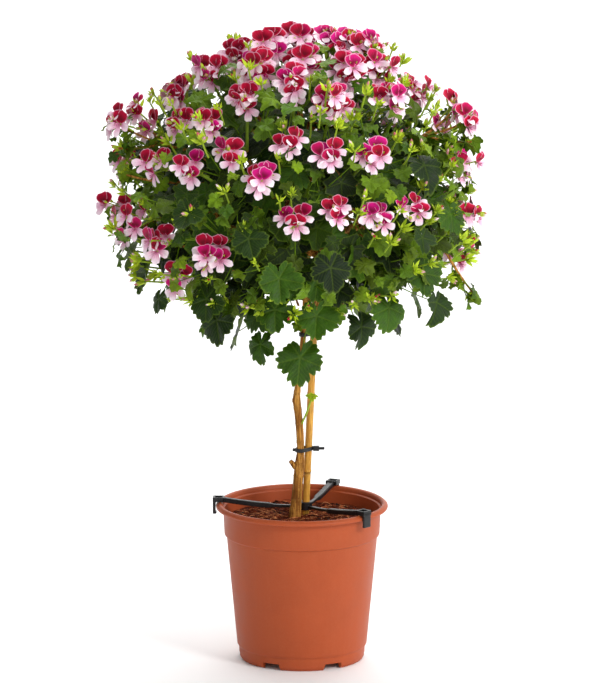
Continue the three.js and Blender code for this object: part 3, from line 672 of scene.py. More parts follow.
@dataclass(frozen=True)
class Finish:
    """What every finish shares: a name, how strongly it shines, and the nodes that it starts from."""

    name: str
    gloss: float = field(default=0.35, kw_only=True)

    def start(self) -> tuple[Material, Shade, Node, Socket]:
        """Makes an empty material.

        Returns:
            The material, its tree's helper, its shader and the place on the object.
        """
        material = bpy.data.materials.new(self.name)
        material.use_nodes = True
        tree = material.node_tree
        tree.nodes.clear()
        shade = Shade(tree)
        shader = shade.add("BsdfPrincipled", {"Specular IOR Level": self.gloss})
        sink = shade.add("OutputMaterial", {"Surface": shader.outputs[0]})
        sink.is_active_output = True
        return material, shade, shader, shade.add("TexCoord").outputs["Object"]


def dress(
    shade: Shade, shader: Node, colour: Socket, roughness: Socket, height: Socket, distance: float
) -> None:
    """Feeds a shader its colour, roughness and relief.

    Args:
        shade: the material's tree.
        shader: the shader.
        colour: its colour.
        roughness: its roughness.
        height: the relief, from about 0 to 1.
        distance: how many metres a height of 1 stands out.
    """
    bump = shade.add("Bump", {"Height": height, "Distance": distance, "Strength": 1.0})
    shade.feed(shader.inputs["Base Color"], colour)
    shade.feed(shader.inputs["Roughness"], roughness)
    shade.feed(shader.inputs["Normal"], bump.outputs["Normal"])


@dataclass(frozen=True)
class PlasticFinish(Finish):
    """Moulded plastic, with faint flow marks, a fine grain and dust on what looks up."""

    colour: Colour = (0.5, 0.5, 0.5)
    dust_colour: Colour = (0.5, 0.5, 0.5)
    dust: float = 0.2
    roughness: float = 0.4
    grain: float = 0.00004
    flow: float = 0.02

    def material(self, effects: SharedEffects) -> Material:
        """Makes the material from the shared effects.

        Args:
            effects: the shared shader groups.

        Returns:
            The material.
        """
        material, shade, shader, place = self.start()
        mottle = shade.group(effects.mottle, place=place, scale=24.0, depth=0.045)
        flow = shade.group(effects.streaks, place=place, fine=120.0, stretch=0.06)
        colour = shade.mix(1.0, self.colour, mottle.outputs["Tint"], "MULTIPLY")
        colour = shade.mix(shade.times(flow.outputs["Value"], self.flow), colour, self.dust_colour)
        dust = shade.group(effects.dust, place=place, amount=self.dust).outputs["Mask"]
        colour = shade.mix(dust, colour, self.dust_colour)
        rough = shade.scaled(mottle.outputs["Value"], 0.12, self.roughness - 0.06)
        rough = shade.math("ADD", rough, shade.times(dust, 0.6))
        fine = shade.add("TexNoise", {"Vector": place, "Scale": 1500.0, "Detail": 2.0})
        dress(shade, shader, colour, rough, fine.outputs["Fac"], self.grain)
        return material


@dataclass(frozen=True)
class StemFinish(Finish):
    """A woody stem or a cane: lengthwise fibres in two colours, dark marks, painted shade in fissures."""

    light: Colour = (0.5, 0.4, 0.2)
    dark: Colour = (0.2, 0.1, 0.05)
    # Scars and joints, and painted shade in the trunk's fissures
    marks: Colour = (0.1, 0.05, 0.02)
    fine: float = 900.0
    stretch: float = 0.05
    depth: float = 0.0004
    roughness: float = 0.6

    def material(self, effects: SharedEffects) -> Material:
        """Makes the material from the shared effects.

        Args:
            effects: the shared shader groups.

        Returns:
            The material.
        """
        material, shade, shader, place = self.start()
        fibre = shade.group(effects.streaks, place=place, fine=self.fine, stretch=self.stretch)
        mottle = shade.group(effects.mottle, place=place, scale=60.0, depth=0.16)
        colour = shade.mix(fibre.outputs["Value"], self.dark, self.light)
        colour = shade.mix(1.0, colour, mottle.outputs["Tint"], "MULTIPLY")
        # Dark scars and joints, and painted shade where the trunk's fissures are deep
        colour = shade.mix(shade.attribute("sunk"), colour, self.marks)
        rough = shade.scaled(fibre.outputs["Value"], -0.15, self.roughness + 0.1)
        dress(shade, shader, colour, rough, fibre.outputs["Height"], self.depth)
        return material


@dataclass(frozen=True)
class MixFinish(Finish):
    """Coir and bark: reddish-brown bits that each have their own tone."""

    dark: Colour = (0.05, 0.02, 0.01)
    light: Colour = (0.3, 0.12, 0.05)
    dry: Colour = (0.6, 0.4, 0.25)

    def material(self, effects: SharedEffects) -> Material:
        """Makes the material from the shared effects.

        Args:
            effects: the shared shader groups.

        Returns:
            The material.
        """
        material, shade, shader, place = self.start()
        mottle = shade.group(effects.mottle, place=place, scale=120.0, depth=0.4)
        crumbs = shade.add("TexVoronoi", {"Vector": place, "Scale": 260.0})
        tone = shade.attribute("tone")
        mixed = shade.scaled(shade.split(crumbs.outputs["Color"])[0], 0.5, tone)
        colour = shade.mix(shade.ramp(mixed, 0.1, 1.1), self.dark, self.light)
        colour = shade.mix(shade.ramp(tone, 0.8, 1.0), colour, self.dry)
        colour = shade.mix(1.0, colour, mottle.outputs["Tint"], "MULTIPLY")
        rough = shade.scaled(mottle.outputs["Value"], 0.15, 0.8)
        fine = shade.add("TexNoise", {"Vector": place, "Scale": 700.0, "Detail": 4.0})
        dress(shade, shader, colour, rough, fine.outputs["Fac"], 0.0012)
        return material


@dataclass(frozen=True)
class LeafFinish(Finish):
    """A leaf: veined, quilted and paler towards its edge, and lime green while it is young."""

    deep: Colour = (0.02, 0.06, 0.01)
    fresh: Colour = (0.08, 0.2, 0.03)
    lime: Colour = (0.35, 0.5, 0.08)
    vein: Colour = (0.3, 0.45, 0.15)

    def material(self, effects: SharedEffects) -> Material:
        """Makes the material from the shared effects.

        Args:
            effects: the shared shader groups.

        Returns:
            The material.
        """
        material, shade, shader, place = self.start()
        blade = shade.attribute("place", "Vector")
        veins = shade.group(effects.veins, place=blade, width=0.035)
        mottle = shade.group(effects.mottle, place=place, scale=130.0, depth=0.25)
        # Tone is random, and lowered by painted shade on leaves deep in the crown
        colour = shade.mix(shade.attribute("tone"), self.deep, self.fresh)
        colour = shade.mix(shade.attribute("young"), colour, self.lime)
        colour = shade.mix(1.0, colour, mottle.outputs["Tint"], "MULTIPLY")
        lines = shade.scaled(veins.outputs["Side"], 0.07, shade.times(veins.outputs["Main"], 0.12))
        colour = shade.mix(lines, colour, self.vein)
        rim = shade.times(shade.ramp(shade.attribute("edge"), 0.88, 1.0), 0.3)
        colour = shade.mix(rim, colour, self.vein)
        under = shade.times(shade.attribute("under"), 0.4)
        colour = shade.mix(under, colour, self.vein)
        rough = shade.scaled(mottle.outputs["Value"], 0.2, 0.42)
        sunk = shade.scaled(veins.outputs["Main"], -1.0, mottle.outputs["Value"])
        height = shade.scaled(veins.outputs["Side"], -0.5, sunk)
        dress(shade, shader, colour, rough, height, 0.0005)
        return material


@dataclass(frozen=True)
class PetalFinish(Finish):
    """Two kinds of petal: upper ones with a dark blotch and a pale rim, and pale lower ones."""

    crimson: Colour = (0.4, 0.01, 0.05)
    magenta: Colour = (0.6, 0.03, 0.3)
    blotch: Colour = (0.12, 0.0, 0.02)
    pale: Colour = (0.9, 0.6, 0.7)
    white: Colour = (0.95, 0.85, 0.88)
    flush: Colour = (0.8, 0.25, 0.4)

    def material(self, effects: SharedEffects) -> Material:
        """Makes the material from the shared effects.

        Args:
            effects: the shared shader groups.

        Returns:
            The material.
        """
        material, shade, shader, place = self.start()
        across, along, _ = shade.split(shade.attribute("place", "Vector"))
        upper = shade.attribute("upper")
        tone = shade.attribute("tone")
        edge = shade.attribute("edge")
        mottle = shade.group(effects.mottle, place=place, scale=160.0, depth=0.1)
        fan = shade.math("DIVIDE", across, shade.math("ADD", along, 0.35))
        ribs = shade.math("PINGPONG", shade.math("ADD", fan, 4.0), 0.09)
        veins = shade.inverse(shade.ramp(ribs, 0.0, 0.05))
        rich = shade.mix(shade.ramp(tone, 0.58, 1.0), self.crimson, self.magenta)
        inner = shade.times(shade.ramp(along, 0.85, 0.3), shade.ramp(edge, 0.95, 0.4, 0.0, 0.9))
        rich = shade.mix(inner, rich, self.blotch)
        rich = shade.mix(shade.ramp(edge, 0.82, 1.0, 0.0, 0.7), rich, self.pale)
        soft = shade.mix(shade.ramp(along, 0.25, 0.9), self.pale, self.white)
        soft = shade.mix(shade.times(veins, shade.ramp(along, 0.8, 0.2, 0.0, 0.5)), soft, self.flush)
        soft = shade.mix(shade.times(shade.ramp(along, 0.38, 0.05), 0.6), soft, self.flush)
        soft = shade.mix(shade.times(shade.ramp(tone, 0.5, 0.0), 0.35), soft, self.pale)
        colour = shade.mix(upper, soft, rich)
        colour = shade.mix(shade.times(shade.attribute("under"), 0.6), colour, self.pale)
        colour = shade.mix(1.0, colour, mottle.outputs["Tint"], "MULTIPLY")
        rough = shade.scaled(mottle.outputs["Value"], 0.15, 0.5)
        dress(shade, shader, colour, rough, shade.scaled(veins, -0.6, mottle.outputs["Value"]), 0.0003)
        return material


class Palette:
    """Every material of the plant and its pot, each made once."""

    def __init__(self, effects: SharedEffects) -> None:
        """Makes the materials from the shared effects.

        Args:
            effects: the shared shader groups.
        """
        finishes = {
            Slot.POT: PlasticFinish(
                "Terracotta plastic", srgb(169, 77, 41), srgb(196, 130, 98),
                dust=0.1, roughness=0.46, gloss=0.18,
            ),
            Slot.BLACK: PlasticFinish(
                "Black plastic", srgb(20, 21, 23), srgb(96, 90, 84), dust=0.22, roughness=0.34
            ),
            Slot.MIX: MixFinish(
                "Coir and bark", srgb(26, 10, 4), srgb(124, 52, 24), srgb(214, 136, 88), gloss=0.15
            ),
            Slot.CANE: StemFinish(
                "Bamboo", srgb(226, 174, 74), srgb(178, 116, 30), srgb(88, 54, 20),
                fine=1500.0, stretch=0.02, depth=0.0002, roughness=0.45,
            ),
            Slot.BARK: StemFinish(
                "Woody stem", srgb(198, 142, 62), srgb(128, 76, 24), srgb(64, 36, 14), gloss=0.2,
                fine=520.0, stretch=0.05, depth=0.0006, roughness=0.7,
            ),
            Slot.LEAVES: LeafFinish(
                "Geranium leaf", srgb(10, 30, 1), srgb(62, 102, 4),
                srgb(164, 196, 14), srgb(124, 152, 36), gloss=0.22,
            ),
            Slot.YOUNG: LeafFinish(
                "Young growth", srgb(76, 112, 8), srgb(136, 172, 14),
                srgb(192, 216, 24), srgb(200, 214, 96), gloss=0.25,
            ),
            Slot.PETALS: PetalFinish(
                "Petals", srgb(182, 0, 50), srgb(206, 6, 122), srgb(98, 0, 24),
                srgb(246, 190, 218), srgb(254, 236, 244), srgb(212, 84, 146), gloss=0.15,
            ),
        }
        self.materials = {slot: finish.material(effects) for slot, finish in finishes.items()}

    def __getitem__(self, slot: Slot) -> Material:
        """The material of a slot."""
        return self.materials[slot]


# The pot and what stands in it


@dataclass
class Pot:
    """A moulded nursery pot with a rolled lip, a collar and drain notches round its foot."""

    height: float = 194
    lip_radius: float = 105
    lip_depth: float = 7
    lip_inner_radius: float = 96.5
    collar_top_radius: float = 96
    collar_foot_radius: float = 94.7
    step_height: float = 155
    wall_top_radius: float = 92
    wall_foot_radius: float = 78.6
    wall_foot_height: float = 11
    base_radius: float = 74
    wall: float = 2
    floor: float = 2.5
    foot_step: float = 18.5
    foot_radius: float = 76.6
    foot_wall: float = 3.2
    raised_floor: float = 8
    notch_count: int = 6
    notch_width: float = 22

    def wall_radius(self, height: float) -> float:
        """The outer radius of the tapering wall at a height."""
        share = (height - self.wall_foot_height) / (self.step_height - self.wall_foot_height)
        return self.wall_foot_radius + share * (self.wall_top_radius - self.wall_foot_radius)

    def outside(self) -> list[tuple[float, float, float]]:
        """The corners of the outer profile, from the foot up.

        Returns:
            Radius, height and rounding of each corner.
        """
        lip_foot = self.height - self.lip_depth
        return [
            (self.base_radius, 0, 1.4),
            (self.foot_radius, 4.5, 1.2),
            (self.foot_radius + 0.4, self.foot_step - 3, 1.2),
            (self.wall_radius(self.foot_step) - 0.2, self.foot_step, 1),
            (self.wall_top_radius, self.step_height - 1.2, 0.8),
            (self.collar_foot_radius - 0.4, self.step_height, 0.6),
            (self.collar_foot_radius, self.step_height + 1.5, 1),
            (self.collar_top_radius, lip_foot - 0.4, 1.2),
            (self.lip_radius - 0.6, lip_foot + 0.4, 1.4),
            (self.lip_radius, self.height - 3.4, 2.2),
            (self.lip_radius - 4, self.height, 2.6),
            (self.lip_inner_radius + 1.4, self.height - 1, 1.6),
            (self.lip_inner_radius, self.height - 4, 1),
            (self.lip_inner_radius - 0.2, self.height - 6, 0.5),
        ]

    def inside(self) -> list[tuple[float, float, float]]:
        """The corners of the inner profile, from the ledge under the lip down to the floor.

        Returns:
            Radius, height and rounding of each corner.
        """
        return [
            (self.collar_top_radius - self.wall, self.height - self.lip_depth - 0.2, 0.7),
            (self.collar_foot_radius - self.wall, self.step_height + 1, 1),
            (self.wall_top_radius - self.wall, self.step_height - 3, 1),
            (self.foot_radius - self.wall, self.raised_floor + self.floor, 2),
        ]

    def profile(self) -> Array:
        """The whole rounded profile, from under the raised floor out, up, over and down inside.

        Returns:
            Its points, as radius and height.
        """
        inner = self.base_radius - self.foot_wall
        low = [(0, self.raised_floor, 0), (inner - 1, self.raised_floor, 0.8), (inner, 0, 0.8)]
        high = [(0, self.raised_floor + self.floor, 0)]
        return rounded_profile(low + self.outside() + self.inside() + high)

    def angles(self) -> Array:
        """Angles round the pot, closer together at the sides of each notch.

        Returns:
            The angles, in radians.
        """
        period = 2 * math.pi / self.notch_count
        half = self.notch_width / 2 / self.foot_radius
        across = np.linspace(-half, half, 7)
        slope = half + np.array([0.008, 0.02])
        between = np.linspace(half + 0.05, period - half - 0.05, 17)
        each = np.concatenate([across, slope, between, period - slope[::-1]])
        return np.concatenate([each + k * period for k in range(self.notch_count)])

    def notched(self, angle: Array, height: Array) -> Array:
        """Heights where the notches cut the foot away.

        Args:
            angle: the angle of each point.
            height: its height on the plain profile.

        Returns:
            The height with the notches.
        """
        period = 2 * math.pi / self.notch_count
        half = self.notch_width / 2 / self.foot_radius
        off = np.abs((angle + period / 2) % period - period / 2)
        lift = np.interp(off, [half + 0.001, half + 0.02], [1, 0])
        return np.maximum(height, lift * (self.raised_floor - 0.05))

    def build(self, palette: Palette) -> None:
        """Makes the pot's shell.

        Args:
            palette: the materials.
        """
        profile = self.profile()
        angles = self.angles()
        radius = np.broadcast_to(profile[1:-1, 0, None], (len(profile) - 2, len(angles)))
        height = np.broadcast_to(profile[1:-1, 1, None], radius.shape)
        height = self.notched(angles[None], height)
        rings = np.stack([radius * np.cos(angles), radius * np.sin(angles), height], axis=-1)
        ends = np.array([[0, 0, profile[0, 1]], [0, 0, profile[-1, 1]]])
        batch = MeshBatch()
        batch.add(np.vstack([rings.reshape(-1, 3), ends]), ring_faces(*radius.shape, capped=True))
        batch.finish("pot_shell", palette, Slot.POT, "pot", crease=38)


def rounded_profile(corners: Sequence[tuple[float, float, float]], steps: int = 4) -> Array:
    """A profile whose corners are rounded by short curves.

    Args:
        corners: radius, height and rounding of each corner.
        steps: points on each rounded corner.

    Returns:
        The profile's points.
    """
    points: list[Array] = []
    flat = np.array([corner[:2] for corner in corners], float)
    for i, (_, _, rounding) in enumerate(corners):
        here = flat[i]
        if rounding == 0 or i in (0, len(flat) - 1):
            points.append(here)
            continue
        before, after = flat[i - 1] - here, flat[i + 1] - here
        cut = min(rounding, 0.45 * np.linalg.norm(before), 0.45 * np.linalg.norm(after))
        start, end = here + unit(before) * cut, here + unit(after) * cut
        for t in np.linspace(0, 1, steps):
            points.append(start * (1 - t) ** 2 + 2 * here * t * (1 - t) + end * t**2)
    return np.array(points)


@dataclass
class PottingMix:
    """Coir and bark in the pot: an uneven bed with loose chips and fibres on it."""

    pot: Pot
    height: float = 174
    relief: float = 2.6
    lump_size: float = 16
    crumb_size: float = 5
    rings: int = 44
    sides: int = 120
    chip_count: int = 460
    chip_sizes: tuple[tuple[float, float], ...] = ((3, 11), (2, 5), (1, 2.6))
    fibre_count: int = 1100
    fibre_lengths: tuple[float, float] = (8, 24)
    fibre_radii: tuple[float, ...] = (0.22, 0.36, 0.4, 0.36, 0.3, 0.16)
    dry_share: float = 0.22
    seed: int = 11

    def edge_radius(self) -> float:
        """Where the bed meets the wall."""
        return self.pot.collar_foot_radius - self.pot.wall - GAP

    def top_at(self, x: Array, y: Array) -> Array:
        """The height of the bed's uneven surface.

        Args:
            x: places from left to right.
            y: places from front to back.

        Returns:
            The height at each place.
        """
        rough = [
            noise.fractal(Vector((a / self.lump_size, b / self.lump_size, 3.1)), 1.0, 2.0, 4)
            + 0.6 * noise.noise(Vector((a / self.crumb_size, b / self.crumb_size, 8.4)))
            for a, b in zip(np.ravel(x), np.ravel(y))
        ]
        return self.height - 1.2 + self.relief * 0.6 * np.reshape(rough, np.shape(x))

    def build(self, palette: Palette) -> None:
        """Makes the bed, the chips and the fibres.

        Args:
            palette: the materials.
        """
        self._build_bed(palette)
        draws = np.random.default_rng(self.seed)
        self._build_chips(palette, draws)
        self._build_fibres(palette, draws)

    def _build_bed(self, palette: Palette) -> None:
        """Makes the bed, down to the pot's floor.

        Args:
            palette: the materials.
        """
        edge = self.edge_radius()
        angles = np.linspace(0, 2 * np.pi, self.sides, endpoint=False)
        foot = self.pot.raised_floor + self.pot.floor + GAP
        low = [(50, foot), (self.pot.foot_radius - self.pot.wall - 3, foot)]
        low += [(self.pot.foot_radius - self.pot.wall - GAP, foot + 3)]
        low += [(self.pot.wall_top_radius - self.pot.wall - GAP, self.pot.step_height - 4)]
        low += [(edge, self.pot.step_height + 3)]
        shares = np.linspace(1, 0.02, self.rings)
        radii = np.concatenate([[r for r, _ in low], edge * shares])
        x, y = radii[:, None] * np.cos(angles), radii[:, None] * np.sin(angles)
        heights = np.empty_like(x)
        heights[: len(low)] = np.array([z for _, z in low])[:, None]
        heights[len(low):] = self.top_at(x[len(low):], y[len(low):])
        rings = np.stack([x, y, heights], axis=-1).reshape(-1, 3)
        ends = np.array([[0, 0, foot], [0, 0, self.height - 1]])
        batch = MeshBatch()
        batch.add(np.vstack([rings, ends]), ring_faces(len(radii), self.sides, capped=True), tone=0.15)
        batch.finish("soil_bed", palette, Slot.MIX, "soil")

    def _spots(self, draws: Draws, count: int, margin: float) -> Array:
        """Random places on the bed.

        Args:
            draws: the random numbers.
            count: how many.
            margin: how far from the edge they stay.

        Returns:
            The places, on the bed's surface.
        """
        radius = (self.edge_radius() - margin) * np.sqrt(draws.random(count))
        angle = draws.random(count) * 2 * np.pi
        x, y = radius * np.cos(angle), radius * np.sin(angle)
        return np.column_stack([x, y, self.top_at(x, y)])

    def _build_chips(self, palette: Palette, draws: Draws) -> None:
        """Scatters broken bits of bark.

        Args:
            palette: the materials.
            draws: the random numbers.
        """
        box, faces = rounded_box((-0.5, -0.5, -0.5), (0.5, 0.5, 0.5), 0.2, steps=1)
        spots = self._spots(draws, self.chip_count, 8)
        size = np.column_stack([draws.uniform(low, high, len(spots)) for low, high in self.chip_sizes])
        bent = box[None] * size[:, None] * (1 + 0.35 * draws.standard_normal((len(spots), len(box), 1)) * 0.4)
        level = draws.standard_normal((len(spots), 2))
        side = unit(np.column_stack([level, 0.35 * draws.standard_normal(len(spots))]))
        face = unit(np.cross(side, draws.standard_normal((len(spots), 3))) + (0, 0, 1.5))
        along = unit(np.cross(face, side))
        frames = np.stack([side, along, np.cross(side, along)], axis=1)
        batch = MeshBatch()
        tone = draws.uniform(0, 0.85, len(spots))[:, None]
        batch.add(stood(bent, frames, spots + (0, 0, 0.6), np.ones(len(spots))), faces, tone=tone)
        batch.finish("bark_chips", palette, Slot.MIX, crease=30)

    def _build_fibres(self, palette: Palette, draws: Draws) -> None:
        """Scatters thin curled fibres, a few of them bright and dry.

        Args:
            palette: the materials.
            draws: the random numbers.
        """
        starts = self._spots(draws, self.fibre_count, 14)
        turn = draws.random(len(starts)) * 2 * np.pi
        length = draws.uniform(*self.fibre_lengths, len(starts))
        rise = draws.uniform(-1, 3, len(starts))
        ends = starts + np.column_stack([length * np.cos(turn), length * np.sin(turn), rise])
        room = self.edge_radius() - 3
        far = np.linalg.norm(ends[:, :2], axis=1)
        ends[:, :2] *= np.minimum(1, room / far)[:, None]
        pulls = draws.standard_normal((len(starts), 3)) * (4, 4, 0) + (0, 0, 4)
        lines = bowed_lines(starts, ends, pulls, len(self.fibre_radii))
        points, faces = tubes(lines, np.array(self.fibre_radii), 3)
        batch = MeshBatch()
        is_dry = draws.random(len(starts)) < self.dry_share
        tone = np.where(is_dry, 1.0, draws.uniform(0.3, 0.9, len(starts)))
        batch.add(points, faces, tone=tone[:, None])
        batch.finish("coir_fibres", palette, Slot.MIX)


@dataclass
class Cane:
    """A bamboo cane with swollen joints, leaning a little."""

    radius: float = 4.5
    foot: Place = (-2.5, 20.3, 25)
    lean: Place = (0.0447, -0.0212, 1)
    length: float = 510
    joints: tuple[float, ...] = (205, 301, 398)
    joint_rise: float = 0.6
    joint_width: float = 1.6
    groove_depth: float = 0.25
    groove_width: float = 1.2
    groove_drop: float = 3.4
    scar_width: float = 1.3
    scar_drop: float = 2.6
    stations: int = 300
    sides: int = 28

    def point(self, height: float) -> Array:
        """The middle of the cane at a height above the pot's base."""
        return np.array(self.foot) + np.array(self.lean) * (height - self.foot[2])

    def build(self, palette: Palette) -> None:
        """Makes the cane.

        Args:
            palette: the materials.
        """
        way = unit(np.array(self.lean))
        along = np.linspace(0, self.length, self.stations)
        line = np.array(self.foot) + along[:, None] * way
        radii = np.full(self.stations, self.radius - 0.12)
        sunk = np.zeros(self.stations)
        for joint in self.joints:
            off = along - joint
            radii += self.joint_rise * np.exp(-((off / self.joint_width) ** 2))
            radii -= self.groove_depth * np.exp(-(((off + self.groove_drop) / self.groove_width) ** 2))
            sunk += 0.85 * np.exp(-(((off + self.scar_drop) / self.scar_width) ** 2))
        radii[[0, -1]] -= 0.6
        points, faces = tubes(line[None], radii[None], self.sides)
        batch = MeshBatch()
        marks = np.concatenate([np.repeat(np.clip(sunk, 0, 1), self.sides), [0, 0]])
        batch.add(points, faces, sunk=marks[None])
        batch.finish("cane_stick", palette, Slot.CANE, "cane")


@dataclass
class Trunk:
    """The woody stem, with a fissured foot, a pruned spur, a knot and a small green side shoot."""

    line: tuple[tuple[float, float, float, float], ...] = (
        (-9, 5, 110, 5), (-9, 5, 160, 7), (-9, 5, 176, 7.6), (-7.5, 5, 192, 6.5), (-5.5, 5, 215, 6.1),
        (-3.4, 5, 238, 6), (-2.6, 5, 248, 5.2), (-2, 5, 258, 4.5), (-3, 5, 283, 4.7),
        (-4.7, 5, 302, 4.7), (-6.7, 5, 320, 4.9), (-5.8, 5, 333, 4), (-2.5, 5, 360, 3.7),
        (0, 5, 385, 3.5), (3, 5, 417, 3.5), (4, 4, 450, 3.7), (2, 3, 500, 4), (0, 3, 560, 4.2),
    )
    spur: tuple[tuple[float, float, float, float], ...] = (
        (-4, 5, 233, 4), (-9, 4, 238, 3.3), (-14, 2.5, 245, 2.4),
    )
    knot: tuple[tuple[float, float, float, float], ...] = (
        (-5.5, 4, 314, 2.5), (-9, 3, 320, 3.4), (-7, 3, 327, 2.5),
    )
    shoot: tuple[tuple[float, float, float, float], ...] = (
        (-1.5, 3.4, 289, 1.3), (5, -2, 304, 1.2), (9, -4, 316, 1.1), (12, -4.5, 326, 1),
    )
    leaf_length: float = 8
    stations: int = 420
    sides: int = 36
    flute_depth: float = 0.06
    fissure_depth: float = 0.5
    fissure_length: float = 30
    fissure_crowding: float = 2.2
    fissure_width: float = 0.11
    scars: tuple[float, ...] = (196, 209, 226, 243, 268, 291, 309, 331, 347, 366, 384)
    scar_rise: float = 0.35
    scar_width: float = 1.3

    def relief(self, points: Array, radii: Array) -> tuple[Array, Array]:
        """How far the bark stands out, and how deep its fissures are.

        Args:
            points: the smooth surface, as (stations, sides, 3).
            radii: the stem's radius at each station.

        Returns:
            The change of radius, and the depth from 0 to 1.
        """
        turn = np.linspace(0, 2 * np.pi, points.shape[1], endpoint=False)
        close = self.fissure_crowding
        cleft = np.empty(points.shape[:2])
        for i, height in enumerate(points[:, 0, 2]):
            for j, angle in enumerate(turn):
                x, y = close * math.cos(angle), close * math.sin(angle)
                place = Vector((x, y, height / self.fissure_length))
                cleft[i, j] = abs(noise.noise(place) + 0.35 * noise.noise(place * 2.7))
        deep = np.clip(1 - cleft / self.fissure_width, 0, 1) ** 1.5
        out = self.flute_depth * radii[:, None] * np.cos(3 * turn)[None] - self.fissure_depth * deep
        for scar in self.scars:
            off = points[:, :, 2] - scar
            out += self.scar_rise * np.exp(-((off / self.scar_width) ** 2))
        return out + 0.12 * np.sin(points[:, :, 2] * 2.3 + 3 * np.cos(turn)), deep

    def bark(self, batch: MeshBatch, stations: Sequence[Sequence[float]], count: int, sides: int) -> None:
        """Adds one rough, bark-covered length to a batch.

        Args:
            batch: the batch that takes it.
            stations: rows of x, y, z and radius.
            count: its number of rings.
            sides: the points of a ring.
        """
        line = smooth_line(stations, count)
        points, faces = tubes(line[None, :, :3], line[None, :, 3], sides)
        rings = points[0, :-2].reshape(count, sides, 3)
        out, deep = self.relief(rings, line[:, 3])
        rings = rings + unit(rings - line[:, None, :3]) * out[..., None]
        shaped = np.vstack([rings.reshape(-1, 3), points[0, -2:]])
        # Painted shade: the fissures' depth also darkens their colour
        batch.add(shaped, faces, sunk=np.concatenate([0.6 * deep.ravel(), [0.5, 0.5]])[None])

    def build(self, palette: Palette) -> None:
        """Makes the trunk and its side shoot.

        Args:
            palette: the materials.
        """
        batch = MeshBatch()
        self.bark(batch, self.line, self.stations, self.sides)
        self.bark(batch, self.spur, 26, 16)
        self.bark(batch, self.knot, 20, 16)
        batch.finish("trunk_stem", palette, Slot.BARK, "trunk", crease=70)
        self._build_shoot(palette)

    def _build_shoot(self, palette: Palette) -> None:
        """Makes the green shoot with its tiny leaves.

        Args:
            palette: the materials.
        """
        batch = MeshBatch()
        line = smooth_line(self.shoot, 24)
        batch.add_green_tubes(line[None, :, :3], line[None, :, 3], 10, 0.3, 0.2)
        tip = np.array(self.shoot[-1][:3])
        joints = tip + np.array([[-2.6, -1, 1], [2.6, -1, 1], [0, -2.2, -1.5], [-1, 1, 2.6]])
        ways = unit(np.array([[-1, -0.3, 0.45], [1, -0.3, 0.5], [0.3, -1, -0.3], [-0.2, 0.3, 1]]))
        faces_out = unit(np.array([[0.3, -0.8, 0.7], [-0.3, -0.8, 0.7], [0, -0.5, 0.9], [0, -1, 0.2]]))
        sizes = self.leaf_length * np.array([1, 1, 0.75, 0.6])
        LeafMaker(seed=4).add_leaves(batch, joints, ways, faces_out, sizes, young=0.55, tone=0.5)
        stalks = bowed_lines(np.repeat(tip[None] - (0.6, -0.4, 1.6), 4, axis=0), joints, np.zeros((4, 3)), 4)
        batch.add_green_tubes(stalks, np.array([0.7, 0.6, 0.5, 0.4]), 5, 0.3, 0.2)
        batch.finish("side_shoot_leaves", palette, Slot.YOUNG, "side_shoot")


@dataclass
class Tie:
    """A ratchet tie that goes once round the trunk and the cane.

    Its boxes are the ratchet head, then the tail and a stub if it has them, each by its lowest and
    highest corner.
    """

    name: str
    node: str
    height: float
    stem_middle: tuple[float, float]
    stem_radius: float
    boxes: tuple[tuple[Place, Place], ...]
    thickness: float = 1.2
    width: float = 4.5
    slack: float = 0.5

    def belt_line(self, cane: Cane, reach: float) -> Array:
        """The belt's closed middle line, seen from above.

        Args:
            cane: the cane.
            reach: how far it stands off the stem and the cane.

        Returns:
            Its points, as x and y.
        """
        first = np.array(self.stem_middle)
        second = cane.point(self.height)[:2]
        apart = second - first
        way = math.atan2(apart[1], apart[0])
        lean = math.acos((self.stem_radius - cane.radius) / np.linalg.norm(apart))
        back = np.linspace(way + lean, way - lean + 2 * np.pi, 28)
        front = np.linspace(way - lean, way + lean, 28)
        around = [(first, self.stem_radius, back), (second, cane.radius, front)]
        arcs = [
            middle + (radius + reach) * np.column_stack([np.cos(angles), np.sin(angles)])
            for middle, radius, angles in around
        ]
        return np.vstack(arcs)

    def build(self, cane: Cane, palette: Palette) -> None:
        """Makes the belt, the ratchet head and the toothed tail.

        Args:
            cane: the cane.
            palette: the materials.
        """
        half = self.width / 2
        corners = [(-0.5, -0.35), (-0.35, -0.5), (0.35, -0.5), (0.5, -0.35)]
        corners += [(-x, -y) for x, y in corners]
        rows = []
        for across, up in corners:
            line = self.belt_line(cane, self.slack + self.thickness * (0.5 + across))
            rows.append(np.column_stack([line, np.full(len(line), self.height + 2 * half * up)]))
        rings = np.stack(rows, axis=1)
        batch = MeshBatch()
        batch.add(rings.reshape(-1, 3), ring_faces(len(rings), len(corners), closed=True))
        for low, high in self.boxes:
            thin = min(np.subtract(high, low))
            batch.add(*rounded_box(low, high, min(0.7, 0.3 * thin)))
        self._add_teeth(batch)
        batch.finish(self.name, palette, Slot.BLACK, self.node, crease=40)

    def _add_teeth(self, batch: MeshBatch) -> None:
        """Adds the fine ridges of the ratchet to the tail, or to the head if there is no tail.

        Args:
            batch: the batch that takes it.
        """
        low, high = (np.array(corner) for corner in self.boxes[min(1, len(self.boxes) - 1)])
        for x in np.arange(low[0] + 1.2, high[0] - 0.8, 1.1):
            ridge_low = (x, low[1] - 0.15, low[2] + 0.6)
            batch.add(*rounded_box(ridge_low, (x + 0.5, low[1] + 0.4, high[2] - 0.6), 0.12))


